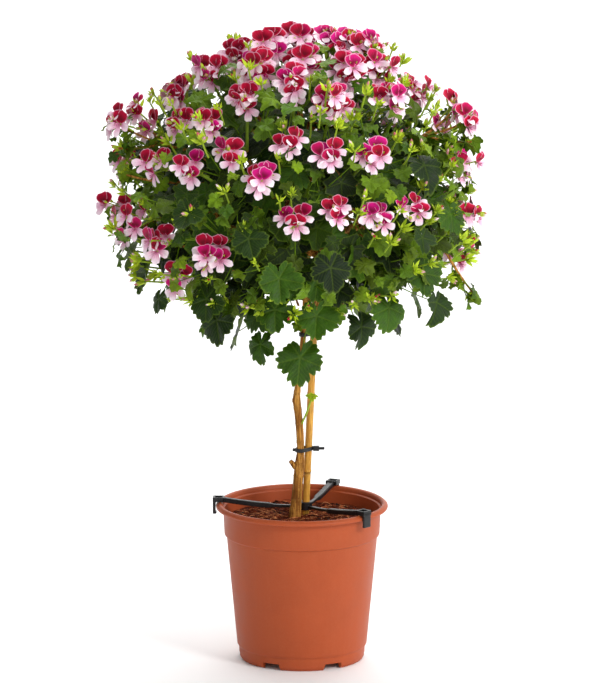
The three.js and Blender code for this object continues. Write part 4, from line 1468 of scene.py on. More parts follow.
@dataclass
class StakeHolder:
    """A black holder: a hub round the cane, and three arms that clip over the pot's lip."""

    pot: Pot
    cane: Cane
    hub_height: float = 186
    hub_depth: float = 10
    hub_wall: float = 3.4
    arm_angles: tuple[float, ...] = (178, 68, -43)
    seat_height: float = 197
    clip_width: float = 14
    clip_wall: float = 2.4
    clip_leg: float = 14.5
    arm_sag: float = 2.2
    arm_width: tuple[float, float] = (4.6, 8)
    arm_depth: tuple[float, float] = (3.4, 5.8)
    thick_from: float = 0.38

    def build(self, palette: Palette) -> None:
        """Makes the holder.

        Args:
            palette: the materials.
        """
        batch = MeshBatch()
        self._add_hub(batch)
        for degrees in self.arm_angles:
            self._add_arm(batch, math.radians(degrees))
            self._add_clip(batch, math.radians(degrees))
        batch.finish("stake_holder_arms", palette, Slot.BLACK, "stake_holder", crease=40)

    def _add_hub(self, batch: MeshBatch) -> None:
        """Adds the ring round the cane.

        Args:
            batch: the batch that takes it.
        """
        middle = self.cane.point(self.hub_height)
        inner = self.cane.radius + GAP
        outer = self.cane.radius + self.hub_wall
        low, high = self.hub_height - self.hub_depth / 2, self.hub_height + self.hub_depth / 2
        corners = [(inner, low + 0.5), (inner + 0.5, low), (outer - 0.8, low), (outer, low + 0.8)]
        corners += [(outer, high - 0.8), (outer - 0.8, high), (inner + 0.5, high), (inner, high - 0.5)]
        turn = np.linspace(0, 2 * np.pi, 48, endpoint=False)
        rows = [np.column_stack([r * np.cos(turn), r * np.sin(turn), np.full(48, z)]) for r, z in corners]
        rings = np.stack(rows) + (middle[0], middle[1], 0)
        batch.add(rings.reshape(-1, 3), ring_faces(len(corners), 48, closed=True))

    def _add_arm(self, batch: MeshBatch, angle: float) -> None:
        """Adds one arm, thin near the hub and thicker towards the lip.

        Args:
            batch: the batch that takes it.
            angle: the way that it points, in radians.
        """
        middle = self.cane.point(self.hub_height)
        start = np.array([middle[0], middle[1], self.hub_height - 1.5])
        seat = self.pot.lip_inner_radius + 1
        rim = np.array([seat * math.cos(angle), seat * math.sin(angle), self.seat_height - 0.4])
        way = unit(rim - start)
        side = unit(np.cross((0, 0, 1), way))
        up = np.cross(way, side)
        first = self.cane.radius + 1.5
        length = np.linalg.norm(rim - start)
        along = np.concatenate([np.linspace(first, 0.4 * length, 16), np.linspace(0.43 * length, length, 30)])
        thick = along > 0.42 * length
        ease = np.clip((along / length - self.thick_from) / 0.06, 0, 1)
        width = self.arm_width[0] + (self.arm_width[1] - self.arm_width[0]) * ease
        depth = self.arm_depth[0] + (self.arm_depth[1] - self.arm_depth[0]) * ease
        rise = -self.arm_sag * np.sin(np.pi * along / length)
        corners = np.array([(-0.5, -0.36), (-0.38, -0.5), (0.38, -0.5), (0.5, -0.36)])
        corners = np.vstack([corners, -corners])
        hollow = np.where(thick, 0.9, 0.2)
        rings = []
        for place, wide, deep, lift, dip in zip(along, width, depth, rise, hollow):
            centre = start + way * place + up * lift
            ring = [centre + side * wide * a + up * deep * b for a, b in corners]
            ring.insert(6, centre + up * (deep / 2 - dip))
            rings.append(ring)
        rings = np.array(rings)
        ends = rings[[0, -1]].mean(axis=1)
        batch.add(np.vstack([rings.reshape(-1, 3), ends]), ring_faces(len(rings), 9, capped=True))

    def _add_clip(self, batch: MeshBatch, angle: float) -> None:
        """Adds the clip at an arm's end: a hollow head over the lip, with a leg outside it.

        Args:
            batch: the batch that takes it.
            angle: the way that its arm points, in radians.
        """
        half = self.clip_width / 2
        wall = self.clip_wall
        seat = self.pot.height + GAP
        top = self.seat_height + 3
        outside = self.pot.lip_radius + GAP
        inside = self.pot.lip_inner_radius - 2
        far = outside + 3.4
        leg_foot = self.pot.height - self.clip_leg
        boxes = [
            ((inside, -half, seat), (far, half, top - 2.2), 0.9),
            ((inside, -half, seat + 1), (inside + wall, half, top), 0.9),
            ((far - 2.8, -half, seat + 1), (far, half, top), 0.9),
            ((inside, -half, seat + 1), (far, -half + wall, top), 0.9),
            ((inside, half - wall, seat + 1), (far, half, top), 0.9),
            ((outside, -half + 1, leg_foot), (far, half - 1, top - 1.5), 1.2),
            ((outside - 1.2, -half + 2, leg_foot), (far - 0.6, half - 2, leg_foot + 2.2), 0.9),
        ]
        for low, high, edge in boxes:
            points, faces = rounded_box(low, high, edge)
            batch.add(turned_about(points, angle), faces)


# Leaves


@dataclass
class LeafMaker:
    """Makes lobed leaves with rounded teeth that each bend a little differently."""

    seed: int = 1
    shapes: int = 6
    teeth: int = 20
    rings: tuple[float, ...] = (0.45, 0.8, 1.0)
    thickness: float = 0.012
    tooth: float = 0.1
    tips: tuple[float, ...] = (0.48, 0.55, 0.6, 0.55, 0.48)
    notches: tuple[float, ...] = (0.14, 0.41, 0.44, 0.44, 0.41, 0.14)
    lobe_bend: float = 2.6
    ruffle: float = 1.0

    def __post_init__(self) -> None:
        """Draws the shapes that the leaves are copied from."""
        self.draws = np.random.default_rng(self.seed)
        self.blades = [self._blade() for _ in range(self.shapes)]

    def _outline(self) -> Array:
        """Five rounded lobes, 72 degrees apart, with notches between them and teeth all round.

        Returns:
            The rim of a leaf of length 1, round the place where its stalk ends.
        """
        draws = self.draws
        count = 3 * self.teeth
        degrees = np.linspace(-180, 180, count, endpoint=False)
        place = (degrees + 180) / 72
        lobe = np.clip(place.astype(int), 0, 4)
        off = place - lobe - 0.5
        tips = np.array(self.tips) * (1 + 0.07 * draws.standard_normal(5))
        notches = np.array(self.notches) * (1 + 0.08 * draws.standard_normal(6))
        notch = np.where(off < 0, notches[lobe], notches[lobe + 1])
        radius = notch + (tips[lobe] - notch) * (1 - np.abs(2 * off) ** self.lobe_bend)
        size = self.tooth * (0.6 + 0.8 * draws.random(count))
        radius *= 1 - np.where(np.arange(count) % 3 == 0, size, 0) + 0.02 * draws.standard_normal(count)
        angle = np.radians(degrees + draws.standard_normal(count))
        return radius[:, None] * np.column_stack([-np.sin(angle), np.cos(angle)])

    def _blade(self) -> Blade:
        """Makes one leaf, 1 long over its lobes.

        Returns:
            The leaf's shell.
        """
        phases = self.draws.random(4) * 2 * np.pi
        cup = 0.3 + 0.15 * self.draws.standard_normal()

        def relief(flat: Array) -> Array:
            """Cupped, pleated along its veins and waved at its rim.

            Args:
                flat: points on the flat blade.

            Returns:
                The height of each point.
            """
            turn = np.arctan2(flat[:, 0], flat[:, 1])
            far = np.linalg.norm(flat, axis=1)
            pleats = -0.07 * far * np.cos(5 * turn)
            waves = np.sin(3 * turn + phases[0]) + 0.8 * np.sin(5 * turn + phases[1])
            waves = waves + 0.5 * np.sin(9 * turn + phases[3])
            curl = 0.15 * far**2 * np.sin(turn + phases[2])
            return pleats + 0.22 * self.ruffle * far**2.6 * waves + curl - cup * far**2

        return Blade.shaped(self._outline(), (0, 0), self.rings, relief, self.thickness)

    def add_leaves(
        self,
        batch: MeshBatch,
        joints: Array,
        tips: Array,
        faces: Array,
        lengths: Array,
        young: Array | float,
        tone: Array | float,
    ) -> None:
        """Adds leaves to a batch.

        Args:
            batch: the batch that takes them.
            joints: where each blade meets its stalk.
            tips: the way of each tip.
            faces: the way that each blade looks.
            lengths: the length of each leaf.
            young: how lime-green each is.
            tone: how light each is.
        """
        normals = unit(faces)
        along = unit(tips - normals * (tips * normals).sum(axis=1, keepdims=True))
        frames = np.stack([np.cross(along, normals), along, normals], axis=1)
        kind = self.draws.integers(0, self.shapes, len(joints))
        bend = 0.35 * self.draws.standard_normal(len(joints))
        fold = 0.18 + 0.15 * self.draws.standard_normal(len(joints))
        youth = np.broadcast_to(young, len(joints))
        tones = np.broadcast_to(tone, len(joints))
        for k, blade in enumerate(self.blades):
            mine = kind == k
            if not mine.any():
                continue
            shape = np.repeat(blade.points[None], mine.sum(), axis=0)
            shape[:, :, 2] -= bend[mine, None] * shape[:, :, 1] ** 2
            shape[:, :, 2] += fold[mine, None] * np.abs(shape[:, :, 0])
            batch.add(
                stood(shape, frames[mine], joints[mine], lengths[mine]),
                blade.faces,
                place=blade.place(mine.sum()),
                edge=blade.edge[None],
                under=blade.under[None],
                tone=tones[mine, None],
                young=youth[mine, None],
            )


# The plan of the crown


@dataclass
class Head:
    """A head of flowers: a round space with its middle and radius."""

    middle: Array
    flowers: int
    radius: float = 0.0


@dataclass
class Leaf:
    """A leaf's place: its joint, the ways of its tip and face, its length and its stalk's root."""

    joint: Array
    tip: Array
    face: Array
    length: float
    root: Array


@dataclass(frozen=True)
class CrownShape:
    """The crown's outline: round above its middle, and drawn in towards the trunk below it."""

    middle: Place = (-8, 0, 530)
    across: tuple[float, float] = (240, 225)
    upper: tuple[float, float] = (256, 2)
    lower: tuple[float, float] = (170, 1.3)
    axis: tuple[float, float] = (0, 3)
    sectors: int = 8
    cap_angle: float = math.radians(38)
    view_dip: float = math.tan(math.radians(12))

    def reach(self, offset: Array) -> Array:
        """How far out offsets from the middle reach: 1 is on the crown's surface.

        Args:
            offset: offsets from the crown's middle.

        Returns:
            How far out each is.
        """
        high = offset[..., 2] > 0
        height = np.where(high, self.upper[0], self.lower[0])
        bend = np.where(high, self.upper[1], self.lower[1])
        level = np.hypot(offset[..., 0] / self.across[0], offset[..., 1] / self.across[1])
        return (level**bend + np.abs(offset[..., 2] / height) ** bend) ** (1 / bend)

    def share(self, point: Array) -> Array:
        """How far out points of the plant are."""
        return self.reach(point - np.array(self.middle))

    def point(self, direction: Array, share: Array | float) -> Array:
        """The points in these directions that are this far out."""
        return np.array(self.middle) + direction * (np.asarray(share) / self.reach(direction))[..., None]

    def outward(self, point: Array) -> Array:
        """The way straight out of the crown at points.

        Args:
            point: the points.

        Returns:
            A direction of length 1 for each.
        """
        offset = point - np.array(self.middle)
        high = offset[..., 2] > 0
        height = np.where(high, self.upper[0], self.lower[0])
        bend = np.where(high, self.upper[1], self.lower[1])
        wide, deep = self.across
        level = np.maximum(np.hypot(offset[..., 0] / wide, offset[..., 1] / deep), 0.01) ** (bend - 2)
        rise = np.sign(offset[..., 2]) * np.abs(offset[..., 2] / height) ** (bend - 1) / height
        x, y = level * offset[..., 0] / wide**2, level * offset[..., 1] / deep**2
        return unit(np.stack([x, y, rise], axis=-1))

    def seen_point(self, right: float, up: float, share: float, least_depth: float = 0) -> Array:
        """The place on the front that is seen this far to the right and up.

        Args:
            right: how far to the right of the pot it is seen.
            up: how far up it is seen.
            share: how far out it is, as a share of the crown.
            least_depth: how far in front of the axis it stays.

        Returns:
            The place.
        """
        depth = self.across[1]
        for _ in range(12):
            rise = up + depth * self.view_dip - self.middle[2]
            height, bend = self.upper if rise > 0 else self.lower
            level = max(0, share**bend - abs(rise / height) ** bend) ** (1 / bend)
            rest = level**2 - ((right - self.middle[0]) / self.across[0]) ** 2
            depth = (depth + self.across[1] * math.sqrt(max(0, rest))) / 2
        depth = max(depth, least_depth)
        return np.array([right, -depth, up + depth * self.view_dip])

    def sector_of(self, point: Array) -> int:
        """The limb that a point belongs to: 0 to 7 round the axis, or 8 for the cap on top.

        Args:
            point: the point.

        Returns:
            The limb's number.
        """
        x, y, z = point - (*self.axis, self.middle[2])
        if math.atan2(math.hypot(x, y), z) < self.cap_angle:
            return self.sectors
        return round(math.atan2(y, x) * self.sectors / (2 * math.pi)) % self.sectors

    def inside_sector(self, points: Array, sector: int, margin: float) -> bool:
        """Whether points all lie in a limb's own wedge, clear of its planes by a margin.

        Args:
            points: the points.
            sector: the limb's number.
            margin: how far from the planes they have to be.

        Returns:
            Whether they all are.
        """
        x, y, z = (points - (*self.axis, self.middle[2])).T
        from_cone = np.hypot(x, y) * math.cos(self.cap_angle) - z * math.sin(self.cap_angle)
        if sector == self.sectors:
            return bool((from_cone < -margin).all())
        if (from_cone < 2 * margin).any():
            return False
        low, high = (2 * math.pi * (sector + half) / self.sectors for half in (-0.5, 0.5))
        above = -x * math.sin(low) + y * math.cos(low) > margin
        below = -x * math.sin(high) + y * math.cos(high) < -margin
        return bool((above & below).all())


def spread_directions(count: int) -> Array:
    """An even spread of directions round a sphere.

    Args:
        count: how many.

    Returns:
        Directions of length 1.
    """
    i = np.arange(count)
    z = 1 - (2 * i + 1) / count
    angle = i * math.pi * (3 - math.sqrt(5))
    radius = np.sqrt(1 - z * z)
    return np.column_stack([radius * np.cos(angle), radius * np.sin(angle), z])


@dataclass
class CrownPlan:
    """Where the heads, the flowers and the large leaves are, by the rule of the solid crown.

    A row of front_heads says how far right and up a head is seen, and how many flowers it has. A row
    of front_leaves says where a leaf's joint is seen and how long the leaf is. A row of leaf_layers
    says how far out a layer is, how many places it tries and how long its leaves are. A row of
    leaf_fits is a turn of the tip and a share of the length. A row of leaf_rim or flower_rim is a
    place on the rim: its angle in degrees, how far out it is, and how far down or up.
    """

    shape: CrownShape
    cane: Cane
    trunk: Trunk
    front_heads: tuple[tuple[float, float, int], ...] = (
        (12, 780, 5), (61, 782, 5), (-53, 766, 5), (-80, 751, 3), (6, 747, 4), (104, 748, 5),
        (50, 737, 5), (-124, 728, 4), (-169, 721, 3), (-46, 723, 5), (-15, 712, 3), (148, 704, 5),
        (-69, 696, 2), (104, 694, 4), (36, 685, 5), (-194, 680, 3), (168, 674, 3), (210, 668, 5),
        (-237, 663, 4), (-151, 653, 3), (-112, 650, 4), (-13, 628, 3), (29, 622, 3), (79, 618, 4),
        (-81, 617, 3), (-172, 619, 4), (-132, 609, 4), (-53, 602, 4), (-221, 586, 4), (215, 557, 3),
        (124, 553, 3), (46, 549, 3), (89, 546, 3), (-200, 545, 4), (-6, 541, 3), (-169, 511, 4),
        (-108, 498, 5), (203, 498, 4), (-152, 473, 3),
    )
    back_head_depth: float = 95
    back_head_low: float = 600
    head_share: float = 0.88
    head_play: tuple[float, float] = (0.08, 0.02)
    head_base: float = 12
    head_growth: float = 8
    head_gap: float = 1
    hub_share: float = 0.8
    settle_rounds: int = 60
    settle_step: float = 0.3
    head_nodes: int = 43
    core_share: float = 0.55
    front_leaves: tuple[tuple[float, float, float], ...] = (
        (-2, 374, 56), (104, 435, 52), (-114, 445, 50), (-80, 430, 45), (-50, 400, 46),
        (161, 442, 48), (42, 404, 46), (143, 520, 45), (-136, 551, 45), (34, 483, 50),
        (83, 495, 50), (-27, 470, 50), (-63, 518, 45), (143, 477, 50), (-172, 446, 45),
        (180, 458, 45),
    )
    front_leaf_share: float = 0.95
    front_leaf_depth: float = 88
    leaf_layers: tuple[tuple[float, int, float], ...] = ((0.93, 150, 52), (0.74, 185, 50))
    leaf_spacing: float = 0.9
    sector_margin: float = 1.5
    stalk_margin: float = 7
    stalk_samples: int = 12
    leaf_fits: tuple[tuple[float, float], ...] = (
        (0, 1), (0.5, 1), (-0.5, 1), (0, 0.86), (0.6, 0.86), (-0.6, 0.86), (0, 0.72),
    )
    leaf_rim: tuple[tuple[float, float, float], ...] = (
        (180, 0.1, 0), (138, 0.44, 0.09), (106, 0.36, 0.01), (70, 0.55, 0.1), (36, 0.42, 0.02),
        (0, 0.62, 0.13), (-36, 0.42, 0.02), (-70, 0.55, 0.1), (-106, 0.36, 0.01), (-138, 0.44, 0.09),
    )
    flower_rim: tuple[tuple[float, float, float], ...] = (
        (30, 13, 1), (74, 9, -1), (108, 13, 0.5), (143, 9, -1), (180, 15, 1),
        (217, 9, -1), (252, 13, 0.5), (286, 9, -1), (330, 13, 1),
    )
    flower_stagger: float = 2.5
    flower_splay: float = 0.3
    face_turn: float = 0.5
    face_lift: float = 0.22
    front_depth: float = 30
    front_height: float = 735
    front_lift: float = 0.55

    def __post_init__(self) -> None:
        """Places the heads, then the leaves round them."""
        self.heads = self._heads()
        self.groups = self._groups()
        self.lines = self._obstacles()
        self.leaves = self._leaves()

    def _heads(self) -> list[Head]:
        """The heads of the front, and those turned half round to the back.

        Returns:
            The heads, eased apart.
        """
        heads = [
            Head(self.shape.seen_point(right, up, self.head_share), flowers)
            for right, up, flowers in self.front_heads
        ]
        for head in list(heads):
            x, y, z = head.middle
            if y < -self.back_head_depth and z > self.back_head_low:
                turned = np.array([2 * self.shape.middle[0] - x, -y, z])
                heads.append(Head(turned, head.flowers - 1))
        for head in heads:
            head.radius = self.head_base + self.head_growth * math.sqrt(head.flowers)
        self._settle_heads(heads)
        return heads

    def _settle_heads(self, heads: list[Head]) -> None:
        """Eases crowding heads apart, then shrinks what still touches.

        Args:
            heads: the heads, which it moves and shrinks.
        """
        centre = np.array(self.shape.middle)
        inward, outward = self.head_play
        for _ in range(self.settle_rounds):
            for one, other in combinations(heads, 2):
                apart = other.middle - one.middle
                length = math.sqrt(apart @ apart)
                crowding = one.radius + other.radius + self.head_gap - length
                if crowding > 0:
                    step = apart * (crowding * self.settle_step / length)
                    one.middle = one.middle - step
                    other.middle = other.middle + step
            for head in heads:
                share = float(self.shape.share(head.middle))
                wanted = min(max(share, self.head_share - inward), self.head_share + outward)
                head.middle = centre + (head.middle - centre) * wanted / share
        for one, other in combinations(heads, 2):
            length = float(np.linalg.norm(one.middle - other.middle))
            crowding = one.radius + other.radius + self.head_gap - length
            if crowding > 0:
                one.radius -= crowding / 2
                other.radius -= crowding / 2

    def _groups(self) -> list[list[Head]]:
        """Groups the heads, one group for each node: pairs that share a forked stalk, then singles.

        Returns:
            The groups, in the order of their nodes.
        """
        count = len(self.heads)
        pairs = list(combinations(range(count), 2))
        apart = [float(np.linalg.norm(self.heads[i].middle - self.heads[j].middle)) for i, j in pairs]
        taken: set[int] = set()
        groups = []
        for k in sorted(range(len(pairs)), key=apart.__getitem__):
            if count - len(groups) <= self.head_nodes:
                break
            if not taken & set(pairs[k]):
                taken |= set(pairs[k])
                groups.append([self.heads[i] for i in pairs[k]])
        return groups + [[head] for i, head in enumerate(self.heads) if i not in taken]

    def stalk_foot(self, group: list[Head]) -> Array:
        """Where a group's stalk leaves its limb, clear of the planes between limbs.

        Args:
            group: the heads on the stalk.

        Returns:
            The place.
        """
        middle = sum(head.middle for head in group) / len(group)
        foot = self.shape.point(middle - np.array(self.shape.middle), self.core_share + 0.06)
        return self._clear_of_planes(foot)

    def _clear_of_planes(self, point: Array) -> Array:
        """A point moved off the planes and the cone between the limbs.

        Args:
            point: the point.

        Returns:
            The moved point.
        """
        wide = 2 * math.pi / self.shape.sectors
        axis_x, axis_y = self.shape.axis
        angle = math.atan2(point[1] - axis_y, point[0] - axis_x)
        radius = math.hypot(point[0] - axis_x, point[1] - axis_y)
        middle = math.floor(angle / wide + 0.5) * wide
        free = max(0, wide / 2 - self.stalk_margin / radius)
        kept = middle + min(max(angle - middle, -free), free)
        moved = np.array([axis_x + radius * math.cos(kept), axis_y + radius * math.sin(kept), point[2]])
        centre = np.array([axis_x, axis_y, self.shape.middle[2]])
        lean = math.atan2(radius, point[2] - self.shape.middle[2]) - self.shape.cap_angle
        off = self.stalk_margin / float(np.linalg.norm(moved - centre))
        if radius < 12:
            return point
        if abs(lean) >= off:
            return moved
        turn = -off - lean if lean < 0 else off - lean
        offset = moved - centre
        level = np.array([math.cos(kept), math.sin(kept), 0])
        across = offset @ level
        along = across * math.cos(turn) + offset[2] * math.sin(turn)
        rise = offset[2] * math.cos(turn) - across * math.sin(turn)
        return centre + level * along + np.array([0, 0, rise])

    def head_hub(self, head: Head) -> Array:
        """Where a head's stalk ends and its flower stalks start."""
        return head.middle - self.hub_share * head.radius * self.shape.outward(head.middle)

    def head_face(self, head: Head) -> Array:
        """The way that a head looks: outwards, turned a little to the front or the back, and up.

        Heads at the very top look to the front, those behind the trunk with more lift.

        Args:
            head: the head.

        Returns:
            A direction of length 1.
        """
        outward = self.shape.outward(head.middle)
        is_near = head.middle[1] < self.front_depth
        is_front = is_near or head.middle[2] > self.front_height
        toward = -self.face_turn if is_front else self.face_turn
        lift = self.front_lift if is_front and not is_near else self.face_lift
        level = unit(np.array([outward[0], outward[1] + toward, 0]))
        return unit(level * 0.8 + outward * 0.15 + np.array([0, 0, lift]))

    def flower_places(self, head: Head, seed: float) -> list[tuple[Array, Array]]:
        """The flowers of one head.

        Args:
            head: the head.
            seed: sets how the flowers are turned round it.

        Returns:
            For each flower its frame, with side, up and face as rows, and its middle.
        """
        level = flower_frame(self.head_face(head))
        ring = head.flowers - 1 if head.flowers > 3 else head.flowers
        places = []
        for i in range(head.flowers):
            in_middle = i >= ring or ring < 2
            turn = 2 * math.pi * (i + 0.25 + 0.3 * scatter(seed, i)) / ring
            way = level[2] if in_middle else across_face(level, turn)
            rows = flower_frame(unit(level[2] + self.flower_splay * way))
            stagger = 0 if in_middle else self.flower_stagger * (1 if i % 2 else -1)
            start = head.middle + stagger * level[2]
            rim = np.array(self.flower_rim)
            turns = np.radians(rim[:, 0])
            local = np.column_stack([rim[:, 1] * np.sin(turns), rim[:, 1] * np.cos(turns), rim[:, 2]]) @ rows
            reach = head.radius
            while reach > 0:
                far = np.linalg.norm(start + way * reach + local - head.middle, axis=1)
                if (far < head.radius).all():
                    break
                reach -= 0.5
            places.append((rows, start + way * reach))
        return places

    def _obstacles(self) -> tuple[Array, Array, Array]:
        """What a leaf stays clear of, as lines.

        Returns:
            Where each line starts, where it ends, and how far off a leaf stays.
        """
        lines = []
        for group in self.groups:
            foot = self.stalk_foot(group)
            for head in group:
                lines.append((head.middle, head.middle, head.radius + 0.6))
                lines.append((foot, self.head_hub(head), self.stalk_margin))
        stem = np.array(self.trunk.line)[-6:, :3]
        lines += [(start, end, 11) for start, end in zip(stem, stem[1:])]
        top = self.cane.foot[2] + self.cane.length
        lines.append((self.cane.point(380), self.cane.point(top), 12))
        starts, ends, reaches = zip(*lines)
        return np.array(starts, float), np.array(ends, float), np.array(reaches, float)

    def crown_leaf(self, joint: Array, length: float, turn: float) -> Leaf:
        """A leaf that faces outwards and up, with its tip hanging down.

        Args:
            joint: where its stalk ends.
            length: its length.
            turn: how far its tip turns to the side.

        Returns:
            The leaf.
        """
        outward = self.shape.outward(joint)
        level = unit(outward * (1, 1, 0))
        lift = max(outward[2], 0)
        face = level * (1 - 0.6 * lift) * (1, 1, 0) + np.array([0, 0, 0.35 + lift])
        side = np.cross((0, 0, 1), level)
        tip = level * (0.6, 0.6, 0) + (0, 0, -1) + side * turn
        root = self.shape.point(joint - np.array(self.shape.middle), 0.6 * self.core_share)
        return Leaf(joint, tip, face, length, root)

    def _fits(self, leaf: Leaf, sector: int) -> bool:
        """Whether a leaf stays in its limb's wedge and clear of heads, stalks, trunk and cane.

        Args:
            leaf: the leaf.
            sector: the limb's number.

        Returns:
            Whether it does.
        """
        normal = unit(leaf.face)
        along = unit(leaf.tip - normal * (leaf.tip @ normal))
        side = np.cross(normal, along)
        rim = np.array(self.leaf_rim)
        turn = np.radians(rim[:, 0])
        points = leaf.joint + leaf.length * (
            (rim[:, 1] * np.cos(turn))[:, None] * along
            + (rim[:, 1] * np.sin(turn))[:, None] * side
            - rim[:, 2][:, None] * normal
        )
        between = (points + np.roll(points, -1, axis=0)) / 2
        inner = (points + leaf.joint) / 2
        blade = np.vstack([leaf.joint, points, between, inner])
        steps = (np.arange(self.stalk_samples) + 1)[:, None] / self.stalk_samples
        stalk = leaf.joint + (leaf.root - leaf.joint) * steps
        margin = self.sector_margin
        if not self.shape.inside_sector(blade, sector, margin):
            return False
        if not self.clear(blade, 1):
            return False
        if not self.shape.inside_sector(stalk, sector, margin + 1):
            return False
        return self.clear(stalk[: math.floor(0.7 * self.stalk_samples)], 0.75)

    def clear(self, points: Array, share: float) -> bool:
        """Whether points are all further from every obstacle than a share of its reach.

        Args:
            points: the points.
            share: the share of each obstacle's reach.

        Returns:
            Whether they all are.
        """
        starts, ends, reaches = self.lines
        along = ends - starts
        length = np.maximum((along**2).sum(axis=1), 1e-9)
        offset = points[:, None] - starts[None]
        t = np.clip((offset * along).sum(axis=2) / length, 0, 1)
        far = np.linalg.norm(offset - t[..., None] * along, axis=2)
        return bool((far > reaches * share).all())

    def _leaves(self) -> list[list[Leaf]]:
        """Places the large leaves of each limb.

        Returns:
            The leaves, limb by limb.
        """
        sectors: list[list[Leaf]] = [[] for _ in range(self.shape.sectors + 1)]

        def grow(joint: Array, length: float, seed: float) -> None:
            """Adds a leaf, hung in the first way that fits.

            Args:
                joint: where its stalk ends.
                length: its length.
                seed: sets how it is turned.
            """
            sector = self.shape.sector_of(joint)
            near = (np.linalg.norm(other.joint - joint) for other in sectors[sector])
            if any(distance <= self.leaf_spacing * length for distance in near):
                return
            for turn, share in self.leaf_fits:
                leaf = self.crown_leaf(joint, share * length, turn + 0.3 * (scatter(seed, 7) - 0.5))
                if self._fits(leaf, sector):
                    sectors[sector].append(leaf)
                    return

        for i, (right, up, length) in enumerate(self.front_leaves):
            place = self.shape.seen_point(right, up, self.front_leaf_share, self.front_leaf_depth)
            grow(place, length, i)
        for share, count, length in self.leaf_layers:
            for i, way in enumerate(spread_directions(count)):
                place = self.shape.point(way, share - 0.04 * scatter(i, 3))
                grow(place, length * (0.85 + 0.3 * scatter(i, share)), i)
        return sectors


def flower_frame(face: Array) -> Array:
    """A flower's side, up and face directions, as rows."""
    up = unit(np.array([0, 0, 1]) - face * face[2])
    return np.stack([np.cross(up, face), up, face])


def across_face(rows: Array, turn: float) -> Array:
    """The direction across a flower's face that is turned by an angle from up towards its side."""
    return rows[0] * math.sin(turn) + rows[1] * math.cos(turn)


# The crown's pieces


@dataclass(frozen=True)
class FlowerSizes:
    """Sizes of one flower, in millimetres.

    A row of petal_places is an angle in degrees, whether it is an upper petal, and its lift.
    """

    upper_length: float = 16
    lower_length: float = 15.5
    throat: float = 4.2
    petal_places: tuple[tuple[float, bool, float], ...] = (
        (25, True, 0.2), (-25, True, 0.9), (180, False, 0.5), (114, False, -0.5), (-114, False, -0.9),
    )
    sepal_length: float = 9
    petal_points: int = 14
    petal_kinds: int = 7
    stamen_radii: tuple[float, ...] = (0.28, 0.25, 0.24, 0.42, 0.36)
    calyx_radii: tuple[float, ...] = (0.7, 1.3, 1.9, 2.2, 1.6)
    bud_girth: tuple[float, ...] = (0.35, 0.8, 1.0, 0.98, 0.86, 0.66, 0.4, 0.12)


